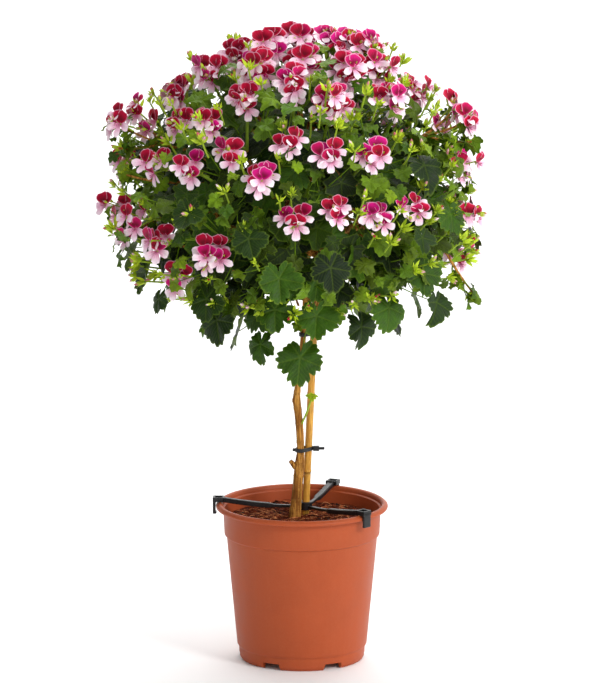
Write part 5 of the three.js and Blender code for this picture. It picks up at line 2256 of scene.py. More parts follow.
class FlowerMaker:
    """Makes two-coloured flowers with their calyx, stamens, stalks and buds."""

    def __init__(self, seed: int) -> None:
        """Draws the petals that the flowers are copied from.

        Args:
            seed: sets all the random numbers of the flowers.
        """
        self.sizes = FlowerSizes()
        self.draws = np.random.default_rng(seed)
        self.upper = [self._petal(1.04, 0.42, 0.3) for _ in range(self.sizes.petal_kinds)]
        self.lower = [self._petal(0.66, 0.32, 0.25) for _ in range(self.sizes.petal_kinds)]
        self.sepal = self._pointed(0.34, 0.22, (1.0,))
        self.leaflet = self._pointed(0.3, 0.5, (1.0,))

    def _petal(self, width: float, claw: float, back: float) -> Blade:
        """Makes one petal, 1 long from the throat to its tip.

        Args:
            width: its width.
            claw: how much of its width it keeps at the throat.
            back: how far its tip rolls back.

        Returns:
            The petal's shell.
        """
        draws = self.draws
        angle = np.linspace(0, 2 * np.pi, self.sizes.petal_points, endpoint=False)
        along = 0.5 - 0.5 * np.cos(angle)
        broad = width * 0.62 * (1 + 0.05 * draws.standard_normal())
        across = broad * np.sin(angle) * (claw + (1 - claw) * along)
        ripple = 1 + 0.025 * np.sin(5 * angle + draws.random() * 6)
        ripple = ripple + 0.015 * draws.standard_normal(len(angle))
        outline = np.column_stack([across, along]) * ripple[:, None]
        phases = draws.random(2) * 2 * np.pi

        def relief(flat: Array) -> Array:
            """Rises out of the throat, then opens flat with a waved, rolled rim.

            Args:
                flat: points on the flat blade.

            Returns:
                The height of each point.
            """
            x, y = flat[:, 0], np.clip(flat[:, 1], 0, 1)
            far = np.hypot(x, y - 0.45)
            waves = 0.11 * far**2 * (np.sin(9 * x + phases[0]) + np.sin(7 * y + phases[1]))
            return -0.26 * (1 - y) ** 2.4 - back * np.clip(y - 0.6, 0, 1) ** 2 + 0.12 * x**2 + waves

        return Blade.shaped(outline, (0, 0.5), (0.4, 0.75, 1.0), relief, 0.018)

    @staticmethod
    def _pointed(width: float, cup: float, rings: tuple[float, ...]) -> Blade:
        """Makes a small pointed leaflet, 1 long.

        Args:
            width: its width.
            cup: how far its tip curves in.
            rings: shares of the way from its middle to its rim.

        Returns:
            Its shell.
        """
        half = np.array([(0.0, 0.0), (0.34, 0.16), (0.5, 0.4), (0.36, 0.68), (0.12, 0.9), (0.0, 1.0)])
        right = half * (width, 1)
        outline = np.vstack([right, (right * (-1, 1))[-2:0:-1]])

        def relief(flat: Array) -> Array:
            """Keeled, and curved in at its tip."""
            return 0.5 * np.abs(flat[:, 0]) + cup * (flat[:, 1] - 0.3) ** 2

        return Blade.shaped(outline, (0, 0.4), rings, relief, 0.03)

    def add_flower(self, petals: MeshBatch, green: MeshBatch, rows: Array, middle: Array, hub: Array) -> None:
        """Adds one flower and its stalk.

        Args:
            petals: takes the petals and stamens.
            green: takes the calyx and the stalk.
            rows: the flower's side, up and face directions.
            middle: the middle of its open face.
            hub: where its stalk starts.
        """
        draws, sizes = self.draws, self.sizes
        face = rows[2]
        tone = draws.random()
        grown = 1 + 0.06 * draws.standard_normal()
        for degrees, is_upper, lift in sizes.petal_places:
            turn = math.radians(degrees + 5 * draws.standard_normal())
            along = across_face(rows, turn)
            tilt = 0.1 * draws.standard_normal() + (0.02 if is_upper else 0.1)
            along = unit(along + face * tilt)
            out = unit(face - along * (face @ along))
            frames = np.stack([np.cross(along, out), along, out])[None]
            kinds = self.upper if is_upper else self.lower
            blade = kinds[draws.integers(0, len(kinds))]
            length = grown * (sizes.upper_length if is_upper else sizes.lower_length)
            start = middle + face * (0.55 * lift) - face * 0.2
            mixed = np.clip(tone + 0.1 * draws.standard_normal(), 0, 1)
            points = stood(blade.points, frames, start[None], np.array([length]))
            petals.add(
                points, blade.faces, place=blade.place(), edge=blade.edge[None],
                under=blade.under[None], upper=float(is_upper), tone=mixed,
            )
        self._add_stamens(petals, rows, middle)
        throat = middle - face * sizes.throat
        self._add_calyx(green, rows, throat)
        self.add_stalk(green, hub, throat - face * 3, face, 0.85)

    def _add_stamens(self, petals: MeshBatch, rows: Array, middle: Array) -> None:
        """Adds the stamens, and the cleft style among them.

        Args:
            petals: takes them.
            rows: the flower's side, up and face directions.
            middle: the middle of its open face.
        """
        side, up, face = rows
        turn = np.linspace(0, 2 * np.pi, 5, endpoint=False) + self.draws.random()
        spread = np.cos(turn)[:, None] * side + np.sin(turn)[:, None] * up
        starts = middle - face * 3 + spread * 0.5
        ends = middle + face * 3.2 + spread * 1.9 - up * 1.4
        lines = bowed_lines(starts, ends, np.repeat(-up[None], 5, axis=0) * 0.8, 5)
        points, faces = tubes(lines, np.array(self.sizes.stamen_radii), 3)
        petals.add(points, faces, place=np.zeros((1, 1, 3)), edge=0.5, under=0.0, upper=0.35, tone=0.9)

    def _add_calyx(self, green: MeshBatch, rows: Array, throat: Array) -> None:
        """Adds five pointed sepals and the swelling below them.

        Args:
            green: takes them.
            rows: the flower's side, up and face directions.
            throat: where its petals meet.
        """
        side, up, face = rows
        turn = np.radians(np.arange(5) * 72 + 36)
        spread = np.sin(turn)[:, None] * side + np.cos(turn)[:, None] * up
        along = unit(spread + 0.55 * face)
        out = unit(np.cross(along, np.cross(spread, face)))
        out = np.where((out @ face)[:, None] < 0, -out, out)
        frames = np.stack([np.cross(along, out), along, out], axis=1)
        middles = throat + spread * 1.1 - face * 1.5
        points = stood(self.sepal.points, frames, middles, np.full(5, self.sizes.sepal_length))
        green.add_green(points, self.sepal.faces, 0.5, 0.55, 0.6 * self.sepal.edge[None])
        line = throat[None, None] + face * np.linspace(-4.2, 0.5, 5)[None, :, None]
        green.add_green_tubes(line, np.array(self.sizes.calyx_radii), 6, 0.4, 0.35)

    def add_stalk(self, green: MeshBatch, start: Array, end: Array, face: Array, radius: float) -> None:
        """Adds a curved stalk that comes up behind a flower or a bud.

        Args:
            green: takes it.
            start: where it starts.
            end: where it ends.
            face: the way that the flower or the bud looks.
            radius: its radius at the end.
        """
        pull = -0.18 * np.linalg.norm(end - start) * face + self.draws.standard_normal(3) * 0.8
        line = bowed_lines(start[None], end[None], pull[None], 6)
        green.add_green_tubes(line, np.linspace(radius * 1.15, radius, 6), 5, 0.55, 0.12)

    def add_bud(
        self, petals: MeshBatch, green: MeshBatch, tip: Array, way: Array, hub: Array, size: float
    ) -> None:
        """Adds a bud: pointed sepals round a furled pink tip.

        Args:
            petals: takes the furled petals.
            green: takes the sepals and the stalk.
            tip: the bud's tip.
            way: the way that it points.
            hub: where its stalk starts.
            size: its length.
        """
        along = unit(way)
        side = unit(np.cross(along, (0.3, 0.2, 1.0)))
        other = np.cross(along, side)
        foot = tip - along * size
        shares = np.linspace(0, 1, len(self.sizes.bud_girth))
        line = foot[None, None] + along * (size * shares)[None, :, None]
        girth = size * 0.22 * np.array(self.sizes.bud_girth)
        points, faces = tubes(line, girth, 8)
        ripe = self.draws.random()
        petals.add(points, faces, place=np.array([[[0, 0.8, 0]]]), edge=0.4, under=0.0, upper=ripe, tone=0.3)
        turn = np.radians(np.arange(5) * 72)
        spread = np.cos(turn)[:, None] * side + np.sin(turn)[:, None] * other
        ways = unit(along + 0.12 * spread)
        out = -unit(spread - ways * (spread * ways).sum(axis=1, keepdims=True))
        frames = np.stack([np.cross(ways, out), ways, out], axis=1)
        points = stood(self.sepal.points, frames, foot + spread * size * 0.2, np.full(5, 0.82 * size))
        green.add_green(points, self.sepal.faces, 0.6, 0.7, 0.6 * self.sepal.edge[None])
        self.add_stalk(green, hub, foot + along * 0.4, along, 0.7)

    def add_tuft(self, petals: MeshBatch, green: MeshBatch, place: Array, way: Array, size: float) -> None:
        """Adds a shoot tip: folded young leaflets, and up to two buds.

        Args:
            petals: takes the tips of its buds.
            green: takes the leaflets and the stalks.
            place: the middle of the tuft.
            way: the way that it points.
            size: how long its leaflets are.
        """
        draws = self.draws
        count = int(draws.integers(9, 15))
        spread = unit(draws.standard_normal((count, 3)))
        ways = unit(way + 0.75 * spread)
        lean = unit(np.cross(ways, draws.standard_normal((count, 3))))
        frames = np.stack([lean, ways, np.cross(lean, ways)], axis=1)
        starts = place + spread * 1.6
        points = stood(self.leaflet.points, frames, starts, size * draws.uniform(0.6, 1.15, count))
        youth = float(draws.uniform(0.6, 1))
        green.add_green(points, self.leaflet.faces, 0.7, youth, 0.6 * self.leaflet.edge[None])
        root = place - way * 24
        self.add_stalk(green, root, place, way, 1.1)
        for _ in range(int(draws.integers(0, 3))):
            aim = unit(way + 0.6 * unit(draws.standard_normal(3)))
            self.add_bud(petals, green, place + aim * (0.9 * size + 4), aim, place, 0.75 * size)


@dataclass
class Umbel:
    """One node's heads of flowers, on their stalk."""

    plan: CrownPlan
    index: int
    maker: FlowerMaker
    top_height: float = 690
    top_flowers: int = 3
    closeness: float = 0.8
    shift: float = 1.6
    wander: float = 0.2
    set_back: float = 4.5
    extra_reach: tuple[float, float] = (0.45, 0.62)
    bud_reach: tuple[float, float] = (0.45, 0.8)
    bud_sizes: tuple[float, float] = (6, 10)
    bract_size: float = 6
    stalk_radii: tuple[float, float] = (2.2, 1.6)

    def build(self, palette: Palette) -> None:
        """Makes the petals, and the green parts.

        Args:
            palette: the materials.
        """
        group = self.plan.groups[self.index]
        foot = self.plan.stalk_foot(group)
        petals, green = MeshBatch(), MeshBatch()
        for k, head in enumerate(group):
            hub = self.plan.head_hub(head)
            line = bowed_lines(foot[None], hub[None], np.array([[0, 0, 2.0]]), 10)
            green.add_green_tubes(line, np.linspace(*self.stalk_radii, 10), 8, 0.3, 0.0)
            places = self._gathered(head, self.index + k / 2) + self._between(head)
            for rows, middle in places:
                self.maker.add_flower(petals, green, rows, middle, hub)
            self._add_buds(petals, green, head, hub)
        petals.keep_in_cad()
        green.keep_in_cad()
        node = f"umbel_{self.index + 1:02d}"
        petals.finish(f"{node}_petals", palette, Slot.PETALS, node, crease=80)
        green.finish(f"{node}_stalks", palette, Slot.YOUNG, node)

    def _gathered(self, head: Head, seed: float) -> list[tuple[Array, Array]]:
        """The plan's flowers, drawn in so that they overlap, each turned a little its own way.

        Args:
            head: the head.
            seed: sets how the flowers are turned round it.

        Returns:
            For each flower its frame and its middle.
        """
        draws = self.maker.draws
        places = []
        for rows, middle in self.plan.flower_places(head, seed):
            near = head.middle + self.closeness * (middle - head.middle)
            near = near + self.shift * draws.standard_normal(3)
            places.append((flower_frame(unit(rows[2] + self.wander * draws.standard_normal(3))), near))
        return places

    def _between(self, head: Head) -> list[tuple[Array, Array]]:
        """Places for more flowers on the heads on top, set a little further back than the plan's.

        Args:
            head: the head.

        Returns:
            For each flower its frame and its middle.
        """
        draws = self.maker.draws
        level = flower_frame(self.plan.head_face(head))
        places: list[tuple[Array, Array]] = []
        if head.middle[2] <= self.top_height:
            return places
        for j in range(self.top_flowers):
            turn = 2 * math.pi * (j + 0.5 * draws.random()) / self.top_flowers
            spread = across_face(level, turn)
            behind = head.middle - self.set_back * level[2]
            middle = behind + spread * head.radius * draws.uniform(*self.extra_reach)
            places.append((flower_frame(unit(level[2] + 0.5 * spread)), middle))
        return places

    def _add_buds(self, petals: MeshBatch, green: MeshBatch, head: Head, hub: Array) -> None:
        """Adds buds that look out between the flowers, with bracts where the stalks meet.

        Args:
            petals: takes the petals.
            green: takes the green parts.
            head: the head.
            hub: where the flower stalks start.
        """
        draws = self.maker.draws
        face = self.plan.head_face(head)
        for _ in range(int(draws.integers(2, 5))):
            way = unit(face * 0.4 + unit(draws.standard_normal(3)))
            tip = head.middle + way * (head.radius * draws.uniform(*self.bud_reach))
            size = draws.uniform(*self.bud_sizes)
            self.maker.add_bud(petals, green, tip, unit(way + face * 0.6), hub, size)
        self.maker.add_tuft(petals, green, hub, face, self.bract_size)


@dataclass
class Branches:
    """The woody twigs of one limb, which carry its leaves and its heads."""

    plan: CrownPlan
    sector: int
    draws: Draws
    base_height: float = 505
    top_base_height: float = 552
    fork_rises: tuple[float, ...] = (0.9, 0.1, -0.75)
    fork_share: float = 0.34
    twig_spread: int = 90
    twig_share: float = 0.66
    limb_radii: tuple[float, float] = (3.8, 3.0)
    stalk_radii: tuple[float, float] = (2.9, 2.1)
    twig_radii: tuple[float, float] = (2.2, 1.2)
    shoot_radii: tuple[float, float] = (1.8, 1.1)
    shoot_length: float = 55

    def __post_init__(self) -> None:
        """Grows the limb from the trunk, then its twigs."""
        shape = self.plan.shape
        self.lines: list[tuple[Array, tuple[float, float]]] = []
        is_top = self.sector == shape.sectors
        turn = 2 * math.pi * self.sector / shape.sectors
        level = np.zeros(3) if is_top else np.array([math.cos(turn), math.sin(turn), 0])
        height = self.top_base_height if is_top else self.base_height + 8 * (self.sector % 4)
        base = np.array([1.0, 3.0, height])
        rises = (1.0,) if is_top else self.fork_rises
        self.forks = [shape.point(unit(level + (0, 0, rise)), self.fork_share) for rise in rises]
        for fork in self.forks:
            self._grow(base, fork, self.limb_radii)
        for group in self.plan.groups:
            self._branch(self.plan.stalk_foot(group), self.stalk_radii)
        for way in spread_directions(self.twig_spread):
            self._branch(shape.point(way, self.twig_share), self.twig_radii)
        self.samples = np.vstack([line[3:] for line, _ in self.lines])

    def _branch(self, end: Array, radii: tuple[float, float]) -> None:
        """Grows a twig from the nearest fork to an end, if that lies in this limb.

        Args:
            end: where it ends.
            radii: its radius at its foot and at its end.
        """
        if self.plan.shape.sector_of(end) == self.sector:
            fork = min(self.forks, key=lambda place: float(np.linalg.norm(place - end)))
            self._grow(fork, end, radii)

    def _grow(self, start: Array, end: Array, radii: tuple[float, float]) -> None:
        """Grows one bowed twig.

        Args:
            start: where it starts.
            end: where it ends.
            radii: its radius at its foot and at its end.
        """
        length = float(np.linalg.norm(end - start))
        pull = self.draws.standard_normal(3) * 0.07 * length - (0, 0, 0.08 * length)
        line = bowed_lines(start[None], end[None], pull[None], 12)[0]
        self.lines.append((line, radii))

    def grow_shoot(self, tip: Array, outward: Array) -> Array:
        """Grows a thin shoot from the wood behind its tip.

        Args:
            tip: where it ends.
            outward: the way out of the crown there.

        Returns:
            Its line.
        """
        behind = tip - self.shoot_length * outward
        root = self.samples[np.linalg.norm(self.samples - behind, axis=1).argmin()]
        sag = np.array([0, 0, -0.1 * np.linalg.norm(tip - root)])
        line = bowed_lines(root[None], tip[None], sag[None], 12)[0]
        self.lines.append((line, self.shoot_radii))
        self.samples = np.vstack([self.samples, line[3:]])
        return line

    def add_to(self, batch: MeshBatch) -> None:
        """Adds the twigs, with a ring at each joint.

        Args:
            batch: the batch that takes it.
        """
        count, sides = 26, 6
        joint = np.exp(-((np.arange(count) % 7 - 3) ** 2) / 0.8)
        for line, ends in self.lines:
            radii = np.linspace(*ends, count) + 0.35 * joint
            points, faces = tubes(smooth_line(line, count)[None], radii, sides)
            batch.add(points, faces, sunk=np.concatenate([np.repeat(0.4 * joint, sides), [0, 0]])[None])


# How far right and up each shoot's tip is seen, how far in front of the axis it is, and its flowers;
# a depth below 0 is behind the axis
OUTER_SHOOTS = (
    (-226, 664, 30, 3), (-204, 678, 5, 3), (-222, 632, 20, 0), (-214, 600, 45, 0), (-218, 528, 40, 2),
    (203, 667, 30, 3), (186, 682, 0, 3), (204, 640, 20, 0), (204, 524, 40, 0), (206, 455, 30, 0),
    (36, 768, -40, 3), (65, 767, -40, 3), (90, 758, -25, 3),
)


@dataclass
class Limb:
    """One limb: its twigs, its leaves on their stalks, its shoot tips and its outer shoots.

    A row of layers says how far out a layer of leaves is, how many places it tries, how long its
    leaves are and how young they may be.
    """

    plan: CrownPlan
    sector: int
    name: str
    leaves: LeafMaker
    small_leaves: LeafMaker
    inner_leaves: LeafMaker
    flowers: FlowerMaker
    layers: tuple[tuple[float, int, float, float], ...] = (
        (0.99, 420, 19, 0.5), (0.93, 560, 23, 0.35), (0.85, 460, 29, 0.2),
        (0.74, 340, 40, 0.05), (0.61, 240, 46, 0.0),
    )
    inner_share: float = 0.78
    tuft_count: int = 360
    tuft_shares: tuple[float, float] = (0.86, 0.99)
    tuft_sizes: tuple[float, float] = (8, 16)
    sparse_height: tuple[float, float] = (425, 520)
    sparse_radius: float = 130
    flower_height: float = 700
    clump_size: float = 38
    clump_gap: float = -0.2
    shoot_spread: int = 64
    shoot_share: float = 0.93
    shoot_front: float = -30
    shoot_height: float = 535
    shoot_leaves: tuple[float, ...] = (0.46, 0.58, 0.7, 0.82, 0.92, 1.0)
    shoot_leaf_lengths: tuple[float, float] = (16, 27)
    bloom_reach: float = 10.5

    def build(self, palette: Palette) -> None:
        """Makes the wood, the leaves and the shoot tips.

        Args:
            palette: the materials.
        """
        draws = np.random.default_rng(100 + self.sector)
        branches = Branches(self.plan, self.sector, draws)
        outer = self._grow_shoots(branches, draws)
        wood = MeshBatch()
        branches.add_to(wood)
        node = f"limb_{self.name}"
        wood.finish(f"{node}_wood", palette, Slot.BARK, node)
        green = MeshBatch()
        self._add_leaves(green, branches, outer, draws)
        green.keep_in_cad()
        green.finish(f"{node}_leaves", palette, Slot.LEAVES, node, crease=60)
        self._add_tufts(node, palette, draws)

    def _shoot_tips(self) -> list[tuple[Array, int]]:
        """The tips of this limb's outer shoots, and how many flowers each carries.

        Returns:
            Those of OUTER_SHOOTS, and an even spread over the sides and the back between the heads.
        """
        shape = self.plan.shape
        tips = [
            (np.array([right, -depth, up + depth * shape.view_dip]), flowers)
            for right, up, depth, flowers in OUTER_SHOOTS
        ]
        for k, way in enumerate(spread_directions(self.shoot_spread)):
            tip = shape.point(way, self.shoot_share)
            is_open = tip[1] > self.shoot_front and tip[2] > self.shoot_height
            if is_open and self.plan.clear(tip[None], 1.5):
                tips.append((tip, 2 + k % 2))
        return [(tip, flowers) for tip, flowers in tips if shape.sector_of(tip) == self.sector]

    def _grow_shoots(self, branches: Branches, draws: Draws) -> list[tuple[Leaf, float]]:
        """Grows the outer shoots.

        Args:
            branches: takes their twigs.
            draws: the random numbers.

        Returns:
            Their leaves, each with how young it is.
        """
        found = []
        for tip, _ in self._shoot_tips():
            line = branches.grow_shoot(tip, self.plan.shape.outward(tip))
            for share in self.shoot_leaves:
                place = line[round(share * (len(line) - 1))]
                joint = place + 8 * unit(draws.standard_normal(3)) - (0, 0, 4)
                length = draws.uniform(*self.shoot_leaf_lengths)
                leaf = self.plan.crown_leaf(joint, length, draws.uniform(-1.2, 1.2))
                leaf.face = leaf.face + 0.45 * draws.standard_normal(3)
                if within_cad(joint[None], 0.5 * leaf.length) and self.plan.clear(joint[None], 0.8):
                    found.append((leaf, 0.35 * draws.random()))
        return found

    def _extra_leaves(self, draws: Draws) -> list[tuple[Leaf, float, bool]]:
        """Leaves between the large ones.

        Args:
            draws: the random numbers.

        Returns:
            Each leaf, how young it is, and whether it is an inner one.
        """
        shape = self.plan.shape
        low, high = self.sparse_height
        found = []
        for share, count, length, young in self.layers:
            for way in spread_directions(count):
                way = unit(way + 0.12 * draws.standard_normal(3))
                joint = shape.point(way, share - 0.05 * draws.random())
                size = length * draws.uniform(0.7, 1.3)
                turn = draws.uniform(-1.4, 1.4)
                youth = young * draws.random()
                luck = draws.random()
                leaf = self.plan.crown_leaf(joint, size, turn)
                leaf.face = leaf.face + 0.42 * draws.standard_normal(3)
                if shape.sector_of(joint) != self.sector:
                    continue
                clump = noise.noise(Vector(joint / self.clump_size)) + (0.1 if share < 0.9 else -0.05)
                hidden = share > 0.95 and joint[2] > self.flower_height
                skirt = low + 0.3 * max(0, math.hypot(joint[0], joint[1]) - self.sparse_radius)
                bare = (joint[2] - 0.6 * size - skirt) / (high - low) < luck
                if hidden or bare or clump < self.clump_gap:
                    continue
                near = joint + unit(leaf.tip) * size * np.array([0, 0.4, 0.62])[:, None]
                if within_cad(near, 3 + 0.25 * size) and self.plan.clear(near, 0.9):
                    found.append((leaf, youth, share < self.inner_share))
        return found

    def _add_leaves(
        self, green: MeshBatch, branches: Branches, outer: list[tuple[Leaf, float]], draws: Draws
    ) -> None:
        """Adds the planned leaves, those between them and those of the outer shoots.

        Args:
            green: takes them.
            branches: carry the stalks.
            outer: the leaves of the outer shoots, each with how young it is.
            draws: the random numbers.
        """
        planned = [(leaf, 0.0) for leaf in self.plan.leaves[self.sector]]
        extra = self._extra_leaves(draws)
        small = [(leaf, youth) for leaf, youth, inner in extra if not inner] + outer
        deep = [(leaf, youth) for leaf, youth, inner in extra if inner]
        # Each set's last number lowers its leaves' tone: painted shade,
        # most for the inner leaves deep in the crown, a little for the large planned ones.
        sets = ((planned, self.leaves, 0.1), (small, self.small_leaves, 0.0), (deep, self.inner_leaves, 0.35))
        for rows, maker, painted_shade in sets:
            joints = np.array([leaf.joint for leaf, _ in rows])
            tips = np.array([leaf.tip for leaf, _ in rows])
            faces = np.array([leaf.face for leaf, _ in rows])
            lengths = np.array([leaf.length for leaf, _ in rows])
            youth = np.array([value for _, value in rows])
            tone = np.clip(0.45 + 0.28 * draws.standard_normal(len(rows)) - painted_shade, 0, 1)
            maker.add_leaves(green, joints, tips, faces, lengths, youth, tone)
            self._add_stalks(green, branches, joints, faces, lengths, draws)

    def _add_stalks(
        self, green: MeshBatch, branches: Branches, joints: Array, faces: Array, lengths: Array, draws: Draws
    ) -> None:
        """Adds the stalk of each leaf, from the nearest twig that lies further in.

        Args:
            green: takes them.
            branches: carry them.
            joints: where each ends.
            faces: the way that each leaf looks.
            lengths: the length of each leaf.
            draws: the random numbers.
        """
        centre = np.array(self.plan.shape.middle)
        inner = centre + (joints - centre) * 0.86
        apart = np.linalg.norm(inner[:, None] - branches.samples[None], axis=2)
        roots = branches.samples[apart.argmin(axis=1)]
        normals = unit(faces)
        ends = joints - normals * 0.012 * lengths[:, None]
        pulls = -normals * 0.2 * lengths[:, None] + draws.standard_normal(joints.shape)
        lines = bowed_lines(roots, ends, pulls, 6)
        green.add_green_tubes(lines, np.linspace(0.9, 0.55, 6), 4, 0.9, 0.18)

    def _add_tufts(self, node: str, palette: Palette, draws: Draws) -> None:
        """Adds shoot tips in the gaps near the surface, and the flowers of the outer shoots.

        Args:
            node: the limb's name in the frame.
            palette: the materials.
            draws: the random numbers.
        """
        shape = self.plan.shape
        petals, green = MeshBatch(), MeshBatch()
        for way in spread_directions(self.tuft_count):
            way = unit(way + 0.1 * draws.standard_normal(3))
            place = shape.point(way, draws.uniform(*self.tuft_shares))
            size = draws.uniform(*self.tuft_sizes)
            if shape.sector_of(place) != self.sector or not self.plan.clear(place[None], 0.8):
                continue
            if place[2] < self.sparse_height[0] + 30 or not within_cad(place[None], 1.6 * size):
                continue
            aim = unit(shape.outward(place) + (0, 0, 0.8))
            self.flowers.add_tuft(petals, green, place, aim, size)
        for tip, count in self._shoot_tips():
            self._add_blooms(petals, green, tip, count, draws)
        petals.keep_in_cad()
        green.keep_in_cad()
        if green.count:
            green.finish(f"{node}_shoots", palette, Slot.YOUNG)
        if petals.count:
            petals.finish(f"{node}_blooms", palette, Slot.PETALS, crease=80)

    def _add_blooms(
        self, petals: MeshBatch, green: MeshBatch, tip: Array, count: int, draws: Draws
    ) -> None:
        """Adds the flowers of one outer shoot, with a few buds, or only its young leaflets.

        Args:
            petals: takes the petals.
            green: takes the green parts.
            tip: the shoot's tip.
            count: how many flowers it carries.
            draws: the random numbers.
        """
        level = flower_frame(self.plan.head_face(Head(tip, count)))
        hub = tip - 10 * level[2]
        for j in range(count):
            turn = 2 * math.pi * (j + 0.4 * draws.random()) / count + 1.2
            spread = across_face(level, turn)
            rows = flower_frame(unit(level[2] + 0.35 * spread))
            self.flowers.add_flower(petals, green, rows, tip + self.bloom_reach * spread, hub)
        for _ in range(2):
            aim = unit(self.plan.shape.outward(tip) + 0.7 * unit(draws.standard_normal(3)) + (0, 0, 0.5))
            self.flowers.add_tuft(petals, green, hub + 5 * aim, aim, draws.uniform(8, 12))


@dataclass
class Crown:
    """The whole crown: nine limbs and the heads of flowers."""

    plan: CrownPlan
    names: tuple[str, ...] = (
        "right", "back_right", "back", "back_left", "left", "front_left", "front", "front_right", "top",
    )

    def build(self, palette: Palette) -> None:
        """Makes the limbs, then the heads.

        Args:
            palette: the materials.
        """
        leaves = LeafMaker(seed=21, shapes=9, ruffle=0.7)
        small = LeafMaker(seed=23, shapes=12, teeth=11, rings=(0.6, 1.0), tooth=0.16, ruffle=1.8)
        inner = LeafMaker(seed=22, shapes=5, teeth=7, rings=(0.6, 1.0), tooth=0.2)
        flowers = FlowerMaker(seed=31)
        for sector, name in enumerate(self.names):
            Limb(self.plan, sector, name, leaves, small, inner, flowers).build(palette)
        for index in range(len(self.plan.groups)):
            Umbel(self.plan, index, flowers).build(palette)


# The studio


@dataclass(frozen=True)
class FloorFinish(Finish):
    """A matt pale floor with a trace of unevenness."""

    colour: Colour = (0.8, 0.8, 0.8)

    def material(self, effects: SharedEffects) -> Material:
        """Makes the material from the shared effects.

        Args:
            effects: the shared shader groups.

        Returns:
            The material.
        """
        material, shade, shader, place = self.start()
        mottle = shade.group(effects.mottle, place=place, scale=2.0, depth=0.004)
        colour = shade.mix(1.0, self.colour, mottle.outputs["Tint"], "MULTIPLY")
        shade.feed(shader.inputs["Base Color"], colour)
        shade.feed(shader.inputs["Roughness"], shade.scaled(mottle.outputs["Value"], 0.05, 0.85))
        return material


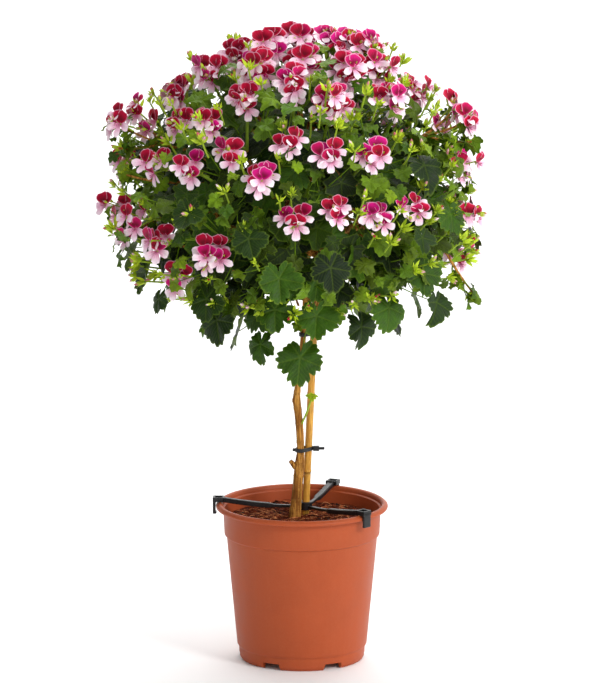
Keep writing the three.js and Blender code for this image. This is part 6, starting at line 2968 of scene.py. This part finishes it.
@dataclass
class Studio:
    """The floor, the lights and the camera."""

    floor_half: float = 9
    floor_columns: int = 7
    floor_rows: int = 25
    camera_distance: float = 9
    camera_lens: float = 391
    camera_elevation: float = 12
    target: Place = (-0.0024, 0, 0.394)
    world_colour: Colour = (1.0, 1.0, 1.0)
    world_strength: tuple[float, float] = (0.3, 1.0)
    lights: tuple[tuple[str, Place, Place, float, float], ...] = (
        ("key", (2.0, -2.1, 1.9), (0, 0, 0.42), 50, 0.8),
        ("front", (0.3, -3.4, 1.2), (0, 0, 0.42), 7, 1.2),
        ("crown", (0.3, 0.7, 2.8), (0, 0, 0.42), 16, 1.4),
        ("behind", (0, 5.5, 4.5), (0, 4, 0.42), 380, 7),
    )

    def build(self, effects: SharedEffects) -> None:
        """Makes the floor, the world, the lights and the camera.

        Args:
            effects: the shared shader groups.
        """
        self._build_floor(effects)
        self._build_world()
        for light in self.lights:
            self._build_light(*light)
        self._build_camera()

    def _build_floor(self, effects: SharedEffects) -> None:
        """Makes a wide floor with a gentle rise far behind.

        Args:
            effects: the shared shader groups.
        """
        half = self.floor_half / MM
        across = np.linspace(-half, half, self.floor_columns)
        behind = np.linspace(-half, half, self.floor_rows)
        lift = np.clip(behind - 0.55 * half, 0, None) ** 2 / half
        columns, rows = np.meshgrid(across, behind)
        heights = np.broadcast_to(lift[:, None], columns.shape)
        points = np.stack([columns, rows, heights], axis=-1).reshape(-1, 3)
        corners = np.arange(self.floor_rows * self.floor_columns).reshape(self.floor_rows, -1)
        a, b = corners[:-1, :-1].ravel(), corners[:-1, 1:].ravel()
        c, d = corners[1:, 1:].ravel(), corners[1:, :-1].ravel()
        faces = np.vstack([np.column_stack([a, b, c]), np.column_stack([a, c, d])])
        batch = MeshBatch()
        batch.add(points, faces)
        finish = FloorFinish("Studio floor", (0.94, 0.94, 0.94))
        floor = batch.build("studio_floor", finish.material(effects), crease=50)

    def _build_world(self) -> None:
        """Makes a white world that grows brighter towards the right."""
        world = bpy.data.worlds.new("Studio")
        world.use_nodes = True
        background = world.node_tree.nodes["Background"]
        background.inputs["Color"].default_value = (*self.world_colour, 1)
        shade = Shade(world.node_tree)
        right = shade.split(shade.add("TexCoord").outputs["Generated"])[0]
        low, high = self.world_strength
        shade.feed(background.inputs["Strength"], shade.ramp(right, -0.9, 0.9, low, high))
        bpy.context.scene.world = world

    def _build_light(self, name: str, place: Place, aim: Place, power: float, size: float) -> None:
        """Makes one soft square light.

        Args:
            name: its name.
            place: where it stands.
            aim: the place that it looks at.
            power: its power.
            size: the length of its sides.
        """
        data = bpy.data.lights.new(name, "AREA")
        data.energy = power
        data.size = size
        lamp = bpy.data.objects.new(name, data)
        lamp.location = place
        way = Vector(aim) - Vector(place)
        lamp.rotation_euler = way.to_track_quat("-Z", "Y").to_euler()
        bpy.context.scene.collection.objects.link(lamp)

    def _build_camera(self) -> None:
        """Sets the camera where the photograph was taken from."""
        scene = bpy.context.scene
        data = bpy.data.cameras.new("photo_camera")
        data.lens = self.camera_lens
        data.sensor_width = 36
        data.clip_end = 60
        camera = bpy.data.objects.new("photo_camera", data)
        rise = math.radians(self.camera_elevation)
        offset = Vector((0, -math.cos(rise), math.sin(rise))) * self.camera_distance
        camera.location = Vector(self.target) + offset
        camera.rotation_euler = (-offset).to_track_quat("-Z", "Y").to_euler()
        scene.collection.objects.link(camera)
        scene.camera = camera
        scene.view_settings.view_transform = "Standard"


TIES = (
    Tie(
        "tie_lower_belt", "tie_lower", 258, (-2, 5), 4.9,
        (
            ((13.6, 10.5, 255.2), (21, 15.5, 261.2)),
            ((20, 12, 256.6), (27.4, 13.4, 260)),
            ((-11.5, 4, 256.4), (-7.6, 6, 260)),
        ),
    ),
    Tie("tie_upper_belt", "tie_upper", 402, (1.6, 5), 3.8, (((20, 7.5, 399.2), (28, 13, 404.8)),)),
)


def main() -> None:
    """Builds the plant, its pot and the studio."""
    logging.basicConfig(level=logging.INFO, format="%(message)s")
    effects = SharedEffects()
    Studio().build(effects)
    palette = Palette(effects)
    pot, cane, trunk = Pot(), Cane(), Trunk()
    for part in (pot, PottingMix(pot), cane, trunk, StakeHolder(pot, cane)):
        part.build(palette)
    for tie in TIES:
        tie.build(cane, palette)
    plan = CrownPlan(CrownShape(), cane, trunk)
    LOG.info("crown: %d heads, %d planned leaves", len(plan.heads), sum(map(len, plan.leaves)))
    Crown(plan).build(palette)
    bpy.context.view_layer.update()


if __name__ == "__main__":
    main()
